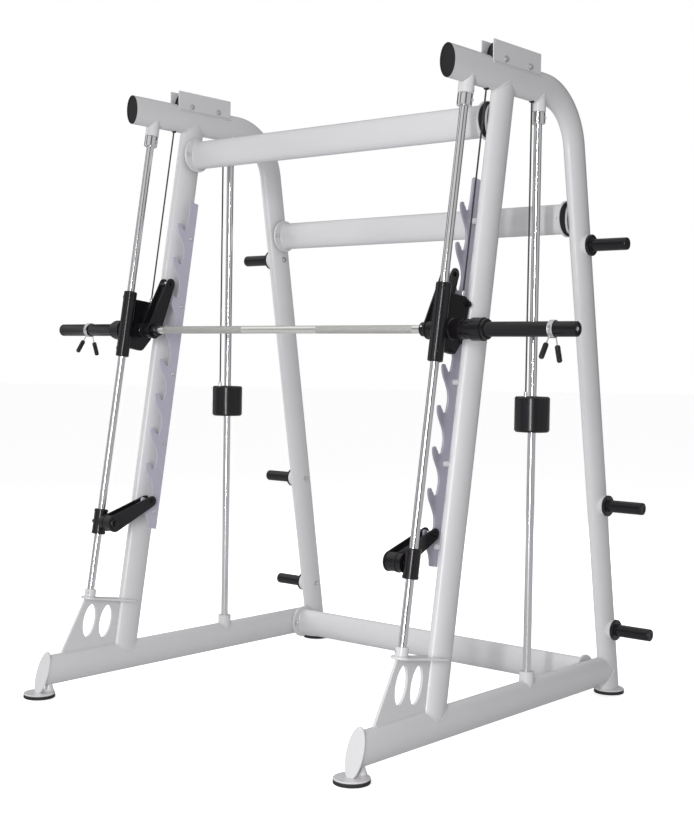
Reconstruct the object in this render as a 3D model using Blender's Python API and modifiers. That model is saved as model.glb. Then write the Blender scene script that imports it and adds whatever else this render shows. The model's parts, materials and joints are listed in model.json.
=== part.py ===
"""Smith machine with leaning guide rods, counterbalanced bar and hook racks.

X runs along the bar, -Y is the user's side, +Z is up, and the floor is Z = 0.
Each side frame is an oval base rail, a leaning front upright and a rear arch.
The guide rod, hook rack and front upright lean back together, so they are built
in a leaning frame: x across, y square to the rod towards the rear, z along it.
"""

import math

import bmesh
import bpy
from mathutils import Matrix, Vector

# Overall sizes
FRAME_SPAN = 1.50  # between the centre planes of the two side frames
TOP_TUBE_Z = 2.205
FOOT_REACH = 0.765  # from the middle of the machine to each foot
BAR_LENGTH = 2.433
ROD_LEAN = math.atan(0.16)
REAR_LEAN = math.atan(0.1693)

# Oval frame tube
TUBE_WIDE = 0.060
TUBE_TALL = 0.110
TUBE_WALL = 0.003
RAIL_Z = 0.0926
SADDLE_TRIM = 0.016  # a coped end stops this far from the other tube's centre line
TOP_TUBE_FRONT_Y = -0.351
BEND_RADIUS = 0.207

# Running clearances and the gap left between touching pieces
GAP = 0.0003
ROD_CLEARANCE = 0.0004
BAR_CLEARANCE = 0.0005

# Feet
PAD_RADIUS = 0.057
PAD_THICK = 0.012
FOOT_PLATE_THICK = 0.005
END_PLATE_THICK = 0.006
POST_RADIUS = 0.009

# Guide rods, weight rods, stubs and collars
ROD_RADIUS = 0.014
ROD_TOP_Y = -0.2372  # guide-rod axis at the top tube's centre line
ROD_TO_UPRIGHT = 0.2039
STUB_WALL = 0.012
STUB_DROP = 0.036  # below the top tube
ROD_SEAT = 0.024  # length of rod inside a stub
COLLAR_WALL = 0.011
COLLAR_TALL = 0.040
SOCKET_TALL = 0.030

# Rod shelf on the base rail
SHELF_Z = 0.345  # top of the shelf, along the rod
SHELF_THICK = 0.008
SHELF_EAR = 0.012
GUSSET_THICK = 0.010

# Hook rack
RACK_X_FROM_UPRIGHT = 0.068  # rack plate centre to upright centre
RACK_THICK = 0.008
RACK_REAR_Y = 0.2245
RACK_FRONT_Y = 0.184
RACK_HEADROOM = 0.3054  # top of the rack below the top tube's centre line
TOP_TIP_DROP = 0.096  # first prong tip below the top of the rack
HOOK_PITCH = 0.1356
LOWEST_TIP = 0.700
PRONG_FRONT_Y = 0.132
PRONG_REAR_Y = 0.148
NOTCH_Y = 0.169
NOTCH_RADIUS = 0.0115
NOTCH_DROP = 0.0112  # seated pin centre below the prong tip
STANDOFF_RADIUS = 0.011
STANDOFF_DROP = 0.050

# Hook arms: a fork of two cheeks that straddle the rack, with a cross pin
ARM_LENGTH = 0.200
STOP_ARM_LENGTH = 0.196
PIN_RADIUS = 0.010
CHEEK_THICK = 0.006
CHEEK_OFFSET = 0.020  # cheek centre to rack centre
ARM_HUB_RADIUS = 0.033
ARM_TIP_RADIUS = 0.020
DRUM_RADIUS = 0.031
PRONG_CLEARANCE = 0.003
LIFT_OFF = 0.012  # bar height above its hooked height when the hooks are swung clear
BAR_HOOK_NUMBER = 2  # counted from the top hook, which is 0

# Carriage, bar, sleeves and clips
BAR_RADIUS = 0.014
BAR_Y = 0.0657
HOUSING_RADIUS = 0.025
HOUSING_ABOVE_BAR = 0.137
HOUSING_BELOW_BAR = 0.115
BEARING_PLATE_THICK = 0.016
INNER_BOSS_RADIUS = 0.030
INNER_BOSS_LENGTH = 0.030
COLLAR_BOSS_RADIUS = 0.0325
COLLAR_BOSS_LENGTH = 0.059
FLANGE_RADIUS = 0.0375
FLANGE_LENGTH = 0.075
SLEEVE_RADIUS = 0.02375
CLIP_RADIUS = 0.0285
CLIP_WIDTH = 0.022
CLIP_FROM_END = {"left": 0.1705, "right": 0.0865}
GRIP_RADIUS = 0.0085
GRIP_REACH = (0.052, 0.106)
GRIP_SPLAY = (math.radians(-33), math.radians(18))

# Safety stops
STOP_RADIUS = 0.025
STOP_TALL = 0.096
PIVOT_RADIUS = 0.009

# Pulleys, bracket, cables and counterweights
PULLEY_PITCH_RADIUS = 0.055
PULLEY_RIM = 0.005  # rim beyond the cable's centre line
PULLEY_THICK = 0.020
PULLEY_SPACING = 0.0265  # between the rims of the two pulleys
AXLE_RADIUS = 0.008
AXLE_ABOVE_TUBE = 0.0505
CABLE_RADIUS = 0.003
GROOVE_ROOM = 0.0014  # under the cable in a pulley's groove
CABLE_JOINT_GAP = 0.0008  # between a straight run and the turn over the pulleys
CABLE_Y = 0.109  # front cable, square to the guide rod
CABLE_HOLE_RADIUS = 0.008
BRACKET_THICK = 0.004
BRACKET_GAP = 0.043  # between the two bracket plates
BRACKET_TOP = 0.106  # above the top tube's centre line
BRACKET_MARGIN = 0.010
WEIGHT_RADIUS = 0.0615
WEIGHT_TALL = 0.125
WEIGHT_DROP = 1.065  # top of the weight below the top tube's centre line
WEIGHT_CABLE_OFFSET = 0.0431  # weight rod behind the rear cable

# Crossbars and plate pegs
CROSSBAR_FLANGE_RADIUS = 0.066
FLANGE_THICK = 0.010
UPPER_FRONT_DROP = 0.1439  # below the top tube's centre line
UPPER_REAR_DROP = 0.4237
LOWER_REAR_INSET = 0.130  # in front of the rear feet
PEG_RADIUS = 0.0225
PEG_LENGTH = 0.152
PEG_RING_RADIUS = 0.039
PEG_RING_THICK = 0.010
PEG_BOSS_LENGTH = 0.010
UPPER_PEG_DROP = 0.5215
PEG_HEIGHTS = {"middle": 0.7275, "lower": 0.2505}

OVAL_SIDES = 20
ROUND_SIDES = 16
PIN_SIDES = 12
BEND_STEPS = 7
SIDES = {"left": -1, "right": 1}

# Places worked out from the sizes above
HALF_SPAN = FRAME_SPAN / 2
COS_LEAN, SIN_LEAN = math.cos(ROD_LEAN), math.sin(ROD_LEAN)
ROD_FLOOR_Y = ROD_TOP_Y - TOP_TUBE_Z * math.tan(ROD_LEAN)
PLATE_TOP_Z = PAD_THICK + GAP + FOOT_PLATE_THICK
STUB_RADIUS = ROD_RADIUS + STUB_WALL
RACK_X = RACK_X_FROM_UPRIGHT
TUBE_BOTTOM_Z = TOP_TUBE_Z - TUBE_TALL / 2
PULLEY_RADIUS = PULLEY_PITCH_RADIUS + PULLEY_RIM
AXLE_Z = TOP_TUBE_Z + AXLE_ABOVE_TUBE


def lean_to_world(y, z):
    """World Y and Z of a point in the leaning frame."""
    return ROD_FLOOR_Y + y * COS_LEAN + z * SIN_LEAN, z * COS_LEAN - y * SIN_LEAN


def lean_height(world_z, y=0.0):
    """Distance along the rod at which a line at y reaches a world height."""
    return (world_z + y * SIN_LEAN) / COS_LEAN


def rear_axis_y(world_z):
    """World Y of the rear upright's axis at a height."""
    return FOOT_REACH - (world_z - PLATE_TOP_Z) * math.tan(REAR_LEAN)


RACK_TOP = lean_height(TOP_TUBE_Z - RACK_HEADROOM)
TOP_TIP = RACK_TOP - TOP_TIP_DROP
HOOK_COUNT = int((TOP_TIP - LOWEST_TIP) / HOOK_PITCH) + 1
TIPS = [TOP_TIP - HOOK_PITCH * number for number in range(HOOK_COUNT)]
RACK_BOTTOM = TIPS[-1] - 0.116

HOOKED_ANGLE = math.acos((NOTCH_Y - BAR_Y) / ARM_LENGTH)
CLEAR_ANGLE = math.acos((PRONG_FRONT_Y - PRONG_CLEARANCE - PIN_RADIUS - BAR_Y) / ARM_LENGTH)
HOOKED_BAR_Z = TIPS[BAR_HOOK_NUMBER] - NOTCH_DROP - ARM_LENGTH * math.sin(HOOKED_ANGLE)
BAR_Z = HOOKED_BAR_Z + LIFT_OFF
STOP_ANGLE = math.acos(NOTCH_Y / STOP_ARM_LENGTH)
STOP_Z = TIPS[-1] - NOTCH_DROP - STOP_ARM_LENGTH * math.sin(STOP_ANGLE)

FRONT_PULLEY_Y = lean_to_world(
    CABLE_Y + PULLEY_PITCH_RADIUS, lean_height(AXLE_Z, CABLE_Y + PULLEY_PITCH_RADIUS)
)[0]
REAR_PULLEY_Y = FRONT_PULLEY_Y + 2 * PULLEY_RADIUS + PULLEY_SPACING
REAR_CABLE_Y = REAR_PULLEY_Y + PULLEY_PITCH_RADIUS
WEIGHT_ROD_Y = REAR_CABLE_Y + WEIGHT_CABLE_OFFSET
WEIGHT_TOP_Z = TOP_TUBE_Z - WEIGHT_DROP

# Distances from a side frame's centre plane, towards the middle or outwards
CHEEK_INNER = RACK_X + CHEEK_OFFSET + CHEEK_THICK / 2
CHEEK_OUTER = RACK_X - CHEEK_OFFSET - CHEEK_THICK / 2
INNER_BOSS_END = BEARING_PLATE_THICK / 2 + INNER_BOSS_LENGTH
COLLAR_BOSS_END = BEARING_PLATE_THICK / 2 + COLLAR_BOSS_LENGTH
SLEEVE_START = COLLAR_BOSS_END + GAP
SLEEVE_END = BAR_LENGTH / 2 - HALF_SPAN


# Scene, materials and placing


def clear_scene():
    for obj in list(bpy.data.objects):
        bpy.data.objects.remove(obj, do_unlink=True)


def new_collection(name):
    collection = bpy.data.collections.new(name)
    bpy.context.scene.collection.children.link(collection)
    return collection


def new_material(name, color, roughness, metallic):
    material = bpy.data.materials.new(name)
    material.use_nodes = True
    shader = material.node_tree.nodes["Principled BSDF"]
    shader.inputs["Base Color"].default_value = (*color, 1.0)
    shader.inputs["Roughness"].default_value = roughness
    shader.inputs["Metallic"].default_value = metallic
    return material


def empty(name, matrix):
    obj = bpy.data.objects.new(name, None)
    obj.empty_display_size = 0.1
    obj.matrix_world = matrix
    PARTS.objects.link(obj)
    return obj


def place(name, mesh, where=None, parent=None):
    """A new object of this mesh, at a local matrix under its parent."""
    obj = bpy.data.objects.new(name, mesh)
    obj.parent = parent
    obj.matrix_local = where or Matrix()
    return obj


def node(name, mesh, finish, where=None, parent=None):
    obj = place(name, mesh, where, parent)
    obj.data.materials.append(MATERIALS[finish])
    obj.data.shade_smooth()
    obj.data.set_sharp_from_angle(angle=math.radians(35))
    PARTS.objects.link(obj)
    return obj


def turned(name, profile, finish, where=None, parent=None, ring=False):
    """A turned piece from (radius, z) points that run down its outer side. A ring has a bore."""
    last = len(profile) - 1
    edges = [(number, number + 1) for number in range(last)]
    if ring:
        edges.append((last, 0))
    mesh = bpy.data.meshes.new("profile")
    mesh.from_pydata([(radius, 0, z) for radius, z in profile], edges, [])
    obj = node(name, mesh, finish, where, parent)
    screw = obj.modifiers.new("turn", "SCREW")
    screw.steps = OVAL_SIDES
    screw.render_steps = OVAL_SIDES
    screw.use_merge_vertices = True
    screw.merge_threshold = 0.00002
    return obj


def helper(name, mesh, where=None, parent=None):
    """A tool for a Boolean, left out of the model."""
    obj = place(name, mesh, where, parent)
    obj.hide_render = True
    obj.display_type = "WIRE"
    CUTTERS.objects.link(obj)
    return obj


def boolean(obj, tool, operation):
    modifier = obj.modifiers.new(f"{operation.lower()} {tool.name}", "BOOLEAN")
    modifier.operation = operation
    modifier.solver = "EXACT"
    modifier.object = tool


def cut(obj, *tools):
    for tool in tools:
        boolean(obj, tool, "DIFFERENCE")


def join(obj, *tools):
    for tool in tools:
        boolean(obj, tool, "UNION")


def at(x=0.0, y=0.0, z=0.0):
    return Matrix.Translation((x, y, z))


Z_TO_X = Matrix.Rotation(math.pi / 2, 4, "Y")
Z_TO_Y = Matrix.Rotation(-math.pi / 2, 4, "X")
# A flat outline drawn in X and Y stands up in Y and Z, with its thickness along X.
FLAT_TO_SIDE = Matrix(((0, 0, 1, 0), (1, 0, 0, 0), (0, 1, 0, 0), (0, 0, 0, 1)))


# Mesh tools


def finished(bm):
    bmesh.ops.recalc_face_normals(bm, faces=bm.faces)
    mesh = bpy.data.meshes.new("mesh")
    bm.to_mesh(mesh)
    bm.free()
    return mesh


def oval(half_x, half_y, low, high, sides=OVAL_SIDES):
    """An oval bar along Z, from low to high."""
    bm = bmesh.new()
    bmesh.ops.create_cone(
        bm, cap_ends=True, segments=sides, radius1=1, radius2=1, depth=1,
        matrix=at(z=(low + high) / 2) @ Matrix.Diagonal((half_x, half_y, high - low, 1)),
    )
    return finished(bm)


def cylinder(radius, low, high, sides=ROUND_SIDES):
    return oval(radius, radius, low, high, sides)


def box(low, high):
    low, high = Vector(low), Vector(high)
    bm = bmesh.new()
    bmesh.ops.create_cube(
        bm, size=1, matrix=Matrix.Translation((low + high) / 2) @ Matrix.Diagonal((*(high - low), 1))
    )
    return finished(bm)


def flat(outline, thick):
    """A flat piece from an outline in X and Y, with its thickness centred on Z = 0."""
    bm = bmesh.new()
    face = bm.faces.new([bm.verts.new((x, y, -thick / 2)) for x, y in outline])
    extruded = bmesh.ops.extrude_face_region(bm, geom=[face], use_keep_orig=True)["geom"]
    raised = [v for v in extruded if isinstance(v, bmesh.types.BMVert)]
    bmesh.ops.translate(bm, vec=(0, 0, thick), verts=raised)
    return finished(bm)


def mesh_from_curve(curve):
    guide = bpy.data.objects.new("guide", curve)
    bpy.context.scene.collection.objects.link(guide)
    graph = bpy.context.evaluated_depsgraph_get()
    mesh = bpy.data.meshes.new_from_object(guide.evaluated_get(graph))
    bpy.data.objects.remove(guide)
    bm = bmesh.new()
    bm.from_mesh(mesh)
    bmesh.ops.remove_doubles(bm, verts=bm.verts, dist=0.00002)
    bpy.data.meshes.remove(mesh)
    return finished(bm)


def cable(points):
    curve = bpy.data.curves.new("cable", "CURVE")
    curve.dimensions = "3D"
    curve.bevel_depth = CABLE_RADIUS
    curve.bevel_resolution = 2
    curve.use_fill_caps = True
    spline = curve.splines.new("POLY")
    spline.points.add(len(points) - 1)
    for point, place_of in zip(spline.points, points):
        point.co = (*place_of, 1)
    return mesh_from_curve(curve)


def arc(centre, radius, start, stop, steps):
    """Points on an arc in degrees, both ends included."""
    angles = [math.radians(start + (stop - start) * i / steps) for i in range(steps + 1)]
    return [(centre[0] + radius * math.cos(a), centre[1] + radius * math.sin(a)) for a in angles]


def capsule(start, start_radius, end, end_radius, steps=8):
    """The outline round two circles and their outer tangents."""
    along = Vector(end) - Vector(start)
    heading = math.degrees(math.atan2(along.y, along.x))
    spread = math.degrees(math.acos((start_radius - end_radius) / along.length))
    return arc(start, start_radius, heading + spread, heading + 360 - spread, steps) + arc(
        end, end_radius, heading - spread, heading + spread, steps
    )


# Frame tubes


def arch_solid(grow):
    """The rear arch's oval bar: top tube, bend and rear upright, in the plane X = 0."""
    turn = math.pi / 2 - REAR_LEAN
    outer_corner_y = rear_axis_y(TOP_TUBE_Z)
    bend_y = outer_corner_y - BEND_RADIUS * math.tan(turn / 2)
    bend_centre = (0, bend_y, TOP_TUBE_Z - BEND_RADIUS)
    down = Vector((0, math.sin(REAR_LEAN), -math.cos(REAR_LEAN)))
    bend_end_z = TOP_TUBE_Z - BEND_RADIUS + BEND_RADIUS * math.sin(REAR_LEAN)
    foot_z = PLATE_TOP_Z + 0.012 if grow < 0 else 0.0
    front_y = TOP_TUBE_FRONT_Y - (0.05 if grow else 0.0)

    bm = bmesh.new()
    bmesh.ops.create_circle(
        bm, cap_ends=True, segments=OVAL_SIDES, radius=1,
        matrix=at(y=front_y, z=TOP_TUBE_Z) @ Z_TO_Y
        @ Matrix.Diagonal((TUBE_WIDE / 2 + grow, TUBE_TALL / 2 + grow, 1, 1)),
    )
    end = extend(bm, bm.faces[:], (0, bend_y - front_y, 0), keep_start=True)
    spun = bmesh.ops.spin(
        bm, geom=end + list({e for f in end for e in f.edges}),
        cent=bend_centre, axis=(1, 0, 0), angle=-turn, steps=BEND_STEPS,
    )["geom_last"]
    bmesh.ops.delete(bm, geom=[f for f in end if f.is_valid], context="FACES_ONLY")
    end = [g for g in spun if isinstance(g, bmesh.types.BMFace)]
    reach = (bend_end_z - foot_z) / math.cos(REAR_LEAN)
    extend(bm, end, down * reach)
    return finished(bm)


def extend(bm, faces, along, keep_start=False):
    """Carries the end faces of a bar along, and gives the new end faces."""
    extruded = bmesh.ops.extrude_face_region(bm, geom=faces)["geom"]
    moved = [g for g in extruded if isinstance(g, bmesh.types.BMVert)]
    bmesh.ops.translate(bm, vec=along, verts=moved)
    if not keep_start:
        left_inside = [face for face in faces if face.is_valid]
        bmesh.ops.delete(bm, geom=left_inside, context="FACES_ONLY")
    return [g for g in extruded if isinstance(g, bmesh.types.BMFace)]


def rail_solid(grow, front_y, rear_y):
    return oval(TUBE_WIDE / 2 + grow, TUBE_TALL / 2 + grow, front_y, rear_y)


def upright_solid(grow, overrun=0.0):
    low = lean_height(RAIL_Z + SADDLE_TRIM, ROD_TO_UPRIGHT) - overrun
    high = lean_height(TOP_TUBE_Z - SADDLE_TRIM, ROD_TO_UPRIGHT) + overrun
    return oval(TUBE_WIDE / 2 + grow, TUBE_TALL / 2 + grow, low, high)


def end_plate_frame(x):
    """Where the slanted plate that closes the front of a base rail lies."""
    slope = math.radians(17.5)
    centre_z = RAIL_Z - 0.007
    centre_y = -FOOT_REACH + 0.014
    return at(x, centre_y, centre_z) @ Matrix.Rotation(-slope, 4, "X") @ Z_TO_Y


def build_base_rail(side, s):
    x = s * HALF_SPAN
    rear_y = rear_axis_y(RAIL_Z) - SADDLE_TRIM
    rail = node(
        f"base_rail_{side}", rail_solid(0, -FOOT_REACH - 0.04, rear_y), "frame_paint",
        at(x, 0, RAIL_Z) @ Z_TO_Y,
    )
    plate_frame = end_plate_frame(x)
    front_waste = helper(
        f"rail_front_waste_{side}", box((-0.1, -0.2, -0.2), (0.1, 0.2, 0.0)), plate_frame
    )
    plate = helper(
        f"rail_end_plate_{side}",
        oval(TUBE_WIDE / 2 + 0.003, 0.082, -END_PLATE_THICK / 2, END_PLATE_THICK / 2), plate_frame,
    )
    foot = helper(
        f"front_foot_plate_{side}", cylinder(PAD_RADIUS, 0, FOOT_PLATE_THICK, OVAL_SIDES),
        at(x, -FOOT_REACH, PAD_THICK + GAP),
    )
    post = helper(
        f"front_foot_post_{side}",
        cylinder(POST_RADIUS, PAD_THICK + GAP, RAIL_Z - TUBE_TALL / 2 + 0.02),
        at(x, -FOOT_REACH + PAD_RADIUS - 1.5 * POST_RADIUS, 0),
    )
    socket = helper(
        f"weight_rod_socket_{side}",
        cylinder(STUB_RADIUS, RAIL_Z, RAIL_Z + TUBE_TALL / 2 + SOCKET_TALL),
        at(x, WEIGHT_ROD_Y, 0),
    )
    hollow = helper(
        f"rail_hollow_{side}", rail_solid(-TUBE_WALL, -FOOT_REACH + 0.045, rear_y + 0.1),
        at(x, 0, RAIL_Z) @ Z_TO_Y,
    )
    below = helper(
        f"rail_floor_waste_{side}",
        box((-0.1, -0.2, -0.2), (0.1, 0.2, PAD_THICK + GAP)), at(x, -FOOT_REACH, 0),
    )
    bore = helper(
        f"weight_rod_bore_{side}",
        cylinder(ROD_RADIUS + ROD_CLEARANCE, RAIL_Z + TUBE_TALL / 2 + 0.002, 0.5),
        at(x, WEIGHT_ROD_Y, 0),
    )
    cut(rail, front_waste)
    join(rail, plate, foot, post, socket)
    cut(rail, hollow, below, bore, ENVELOPES["arch", side])


def build_front_upright(side, s):
    lean = LEAN[side]
    upright = node(
        f"front_upright_{side}", upright_solid(0), "frame_paint", at(y=ROD_TO_UPRIGHT), lean
    )
    hollow = helper(
        f"upright_hollow_{side}", upright_solid(-TUBE_WALL, 0.1), at(y=ROD_TO_UPRIGHT), lean
    )
    cut(upright, hollow, ENVELOPES["rail", side], ENVELOPES["arch", side])


def build_rear_arch(side, s):
    x = s * HALF_SPAN
    arch = node(f"rear_arch_{side}", arch_solid(0), "frame_paint", at(x))
    below = helper(
        f"arch_floor_waste_{side}", box((-0.2, -0.2, -0.2), (0.2, 0.2, PAD_THICK + GAP)),
        at(x, FOOT_REACH, 0),
    )
    foot = helper(
        f"rear_foot_plate_{side}", cylinder(PAD_RADIUS, 0, FOOT_PLATE_THICK, OVAL_SIDES),
        at(x, FOOT_REACH, PAD_THICK + GAP),
    )
    stub_end = lean_height(TUBE_BOTTOM_Z - STUB_DROP)
    guide_stub = helper(
        f"guide_rod_stub_{side}",
        cylinder(STUB_RADIUS, stub_end, lean_height(TOP_TUBE_Z)), None, LEAN[side],
    )
    guide_bore = helper(
        f"guide_rod_bore_{side}",
        cylinder(ROD_RADIUS + ROD_CLEARANCE, stub_end - 0.1, stub_end + ROD_SEAT + 0.001),
        None, LEAN[side],
    )
    stub_z = TUBE_BOTTOM_Z - STUB_DROP + 0.006
    weight_stub = helper(
        f"weight_rod_stub_{side}", cylinder(STUB_RADIUS, stub_z, TOP_TUBE_Z),
        at(x, WEIGHT_ROD_Y, 0),
    )
    weight_bore = helper(
        f"weight_rod_top_bore_{side}",
        cylinder(ROD_RADIUS + ROD_CLEARANCE, stub_z - 0.1, stub_z + ROD_SEAT + 0.001),
        at(x, WEIGHT_ROD_Y, 0),
    )
    bosses = [
        helper(
            f"{name}_peg_boss_{side}",
            cylinder(PEG_RING_RADIUS, TUBE_WIDE / 4, TUBE_WIDE / 2 + PEG_BOSS_LENGTH, OVAL_SIDES),
            at(x, rear_axis_y(z), z) @ Matrix.Rotation(s * math.pi / 2, 4, "Y"),
        )
        for name, z in peg_heights().items()
    ]
    hollow = helper(f"arch_hollow_{side}", arch_solid(-TUBE_WALL), at(x))
    slot = helper(
        f"pulley_slot_{side}",
        box(
            (-BRACKET_GAP / 2 + 0.001, FRONT_PULLEY_Y - PULLEY_RADIUS - 0.004, TUBE_TALL * 0.2),
            (BRACKET_GAP / 2 - 0.001, REAR_PULLEY_Y + PULLEY_RADIUS + 0.004, TUBE_TALL),
        ),
        at(x, 0, TOP_TUBE_Z),
    )
    hole_z = lean_height(TUBE_BOTTOM_Z, CABLE_Y)
    front_hole = helper(
        f"front_cable_hole_{side}", cylinder(CABLE_HOLE_RADIUS, hole_z - 0.03, hole_z + 0.03, PIN_SIDES),
        at(y=CABLE_Y), LEAN[side],
    )
    rear_hole = helper(
        f"rear_cable_hole_{side}",
        cylinder(CABLE_HOLE_RADIUS, TUBE_BOTTOM_Z - 0.03, TUBE_BOTTOM_Z + 0.03, PIN_SIDES),
        at(x, REAR_CABLE_Y, 0),
    )
    cut(arch, below)
    join(arch, foot, guide_stub, weight_stub, *bosses)
    cut(arch, hollow, guide_bore, weight_bore, slot, front_hole, rear_hole)


def peg_heights():
    return {"upper": TOP_TUBE_Z - UPPER_PEG_DROP, **PEG_HEIGHTS}


def build_rod_shelf(side, s):
    """Gusset, shelf and socket that carry the foot of the guide rod."""
    lean = LEAN[side]
    half_nose = ROD_RADIUS + STUB_WALL
    half_ears = TUBE_WIDE / 2 + SHELF_EAR
    neck_y = ROD_TO_UPRIGHT - TUBE_TALL / 2 - 0.03
    outline = (
        arc((0, 0), half_nose + 0.006, 180, 360, 8)
        + [(half_nose + 0.006, neck_y), (half_ears, neck_y + 0.02)]
        + [(half_ears, ROD_TO_UPRIGHT - 0.006), (half_ears - 0.006, ROD_TO_UPRIGHT)]
        + [(-half_ears + 0.006, ROD_TO_UPRIGHT), (-half_ears, ROD_TO_UPRIGHT - 0.006)]
        + [(-half_ears, neck_y + 0.02), (-half_nose - 0.006, neck_y)]
    )
    shelf = node(
        f"rod_shelf_{side}", flat(outline, SHELF_THICK), "frame_paint",
        at(z=SHELF_Z - SHELF_THICK / 2), lean,
    )
    socket = helper(
        f"guide_rod_socket_{side}", cylinder(ROD_RADIUS + 0.007, -0.001, SOCKET_TALL),
        at(z=SHELF_Z), lean,
    )
    front_y, top_z = lean_to_world(-half_nose + 0.004, SHELF_Z - SHELF_THICK / 2)
    rear_y, rear_z = lean_to_world(ROD_TO_UPRIGHT, SHELF_Z - SHELF_THICK / 2)
    gusset_outline = [
        (front_y - 0.106, RAIL_Z + 0.03), (rear_y - 0.02, RAIL_Z + 0.03),
        (rear_y, rear_z), (front_y, top_z), (front_y - 0.106, RAIL_Z + TUBE_TALL / 2 + 0.004),
    ]
    gusset = helper(
        f"shelf_gusset_{side}", flat(gusset_outline, GUSSET_THICK),
        at(s * HALF_SPAN) @ FLAT_TO_SIDE,
    )
    bore = helper(
        f"guide_rod_socket_bore_{side}",
        cylinder(ROD_RADIUS + ROD_CLEARANCE, 0, SOCKET_TALL + 0.05), at(z=SHELF_Z), lean,
    )
    join(shelf, gusset, socket)
    cut(
        shelf, bore, ENVELOPES["rail", side], ENVELOPES["rail_plate", side],
        ENVELOPES["upright", side],
    )
    for number, y in enumerate((0.011, 0.090)):
        window = helper(
            f"gusset_window_{number}_{side}", flat(long_oval(0.058, 0.126), 0.05),
            at(y=y, z=SHELF_Z - 0.088) @ Matrix.Rotation(-math.radians(5), 4, "X")
            @ FLAT_TO_SIDE,
            lean,
        )
        cut(shelf, window)


def long_oval(wide, tall, sides=20):
    """A tall window, a little slimmer at its ends than an ellipse."""
    points = []
    for number in range(sides):
        angle = 2 * math.pi * number / sides
        x, y = math.cos(angle), math.sin(angle)
        points.append((math.copysign(abs(x) ** 1.12, x) * wide / 2, y * tall / 2))
    return points


def build_top_end_cap(side, s):
    """Dished plug in the front end of the top tube."""
    half_x, half_y = TUBE_WIDE / 2, TUBE_TALL / 2
    inside = TUBE_WALL + 0.0005
    where = at(s * HALF_SPAN, TOP_TUBE_FRONT_Y, TOP_TUBE_Z) @ Z_TO_Y
    cap = node(
        f"top_end_cap_{side}", oval(half_x, half_y, -0.003 - GAP, -GAP), "black_plastic", where
    )
    plug = helper(
        f"cap_plug_{side}", oval(half_x - inside, half_y - inside, -0.002, 0.018), where
    )
    dish = helper(
        f"cap_dish_{side}",
        oval(half_x - inside - 0.003, half_y - inside - 0.003, -0.02, 0.010), where,
    )
    join(cap, plug)
    cut(cap, dish)


def build_foot_pads(side, s):
    chamfer = 0.002
    profile = [
        (0, PAD_THICK), (PAD_RADIUS, PAD_THICK), (PAD_RADIUS, chamfer),
        (PAD_RADIUS - chamfer, 0), (0, 0),
    ]
    for end, y in (("front", -FOOT_REACH), ("rear", FOOT_REACH)):
        turned(f"{end}_foot_pad_{side}", profile, "rubber", at(s * HALF_SPAN, y, 0))


# Rods and collars


def build_rods(side, s):
    x = s * HALF_SPAN
    stub_end = lean_height(TUBE_BOTTOM_Z - STUB_DROP)
    node(
        f"guide_rod_{side}", cylinder(ROD_RADIUS, SHELF_Z + GAP, stub_end + ROD_SEAT),
        "chrome", None, LEAN[side],
    )
    stub_z = TUBE_BOTTOM_Z - STUB_DROP + 0.006
    node(
        f"weight_rod_{side}",
        cylinder(ROD_RADIUS, RAIL_Z + TUBE_TALL / 2 + 0.002 + GAP, stub_z + ROD_SEAT),
        "chrome", at(x, WEIGHT_ROD_Y, 0),
    )
    outer, inner = ROD_RADIUS + COLLAR_WALL, ROD_RADIUS + ROD_CLEARANCE
    profile = [(inner, 0), (outer, 0), (outer, -COLLAR_TALL), (inner, -COLLAR_TALL)]
    turned(
        f"guide_rod_collar_{side}", profile, "chrome", at(z=stub_end - GAP), LEAN[side], ring=True
    )
    turned(
        f"weight_rod_collar_{side}", profile, "chrome", at(x, WEIGHT_ROD_Y, stub_z - GAP), ring=True
    )


# Hook rack


def prong(tip):
    """Front edge of the rack round one prong, from the notch above it down."""
    notch = (NOTCH_Y, tip - NOTCH_DROP)
    round_tip = (PRONG_REAR_Y - PRONG_FRONT_Y) / 2
    crown = arc(((PRONG_FRONT_Y + PRONG_REAR_Y) / 2, tip - round_tip), round_tip, 20, 180, 4)
    return (
        [(RACK_FRONT_Y, tip + 0.012)]
        + arc(notch, NOTCH_RADIUS, 0, -180, 6)
        + crown
        + [
            (PRONG_FRONT_Y + 0.004, tip - 0.024), (PRONG_FRONT_Y + 0.013, tip - 0.041),
            (PRONG_FRONT_Y + 0.026, tip - 0.057), (PRONG_FRONT_Y + 0.039, tip - 0.073),
            (RACK_FRONT_Y - 0.004, tip - 0.090), (RACK_FRONT_Y, tip - 0.110),
        ]
    )


def build_hook_rack(side, s):
    outline = [(RACK_REAR_Y, RACK_BOTTOM), (RACK_REAR_Y, RACK_TOP), (RACK_FRONT_Y, RACK_TOP)]
    for tip in TIPS:
        outline += prong(tip)
    outline.append((RACK_FRONT_Y, RACK_BOTTOM))
    rack_x = -s * RACK_X
    rack = node(
        f"hook_rack_{side}", flat(outline, RACK_THICK), "rack_paint",
        at(rack_x) @ FLAT_TO_SIDE, LEAN[side],
    )
    for number, tip in enumerate(TIPS[::2]):
        standoff = helper(
            f"rack_standoff_{number}_{side}",
            cylinder(STANDOFF_RADIUS, 0, RACK_X_FROM_UPRIGHT - TUBE_WIDE / 4, PIN_SIDES),
            at(rack_x, ROD_TO_UPRIGHT, tip - STANDOFF_DROP)
            @ Matrix.Rotation(s * math.pi / 2, 4, "Y"),
            LEAN[side],
        )
        join(rack, standoff)
    cut(rack, ENVELOPES["upright", side])


# Carriage, bar, hooks, sleeves and clips


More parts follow.
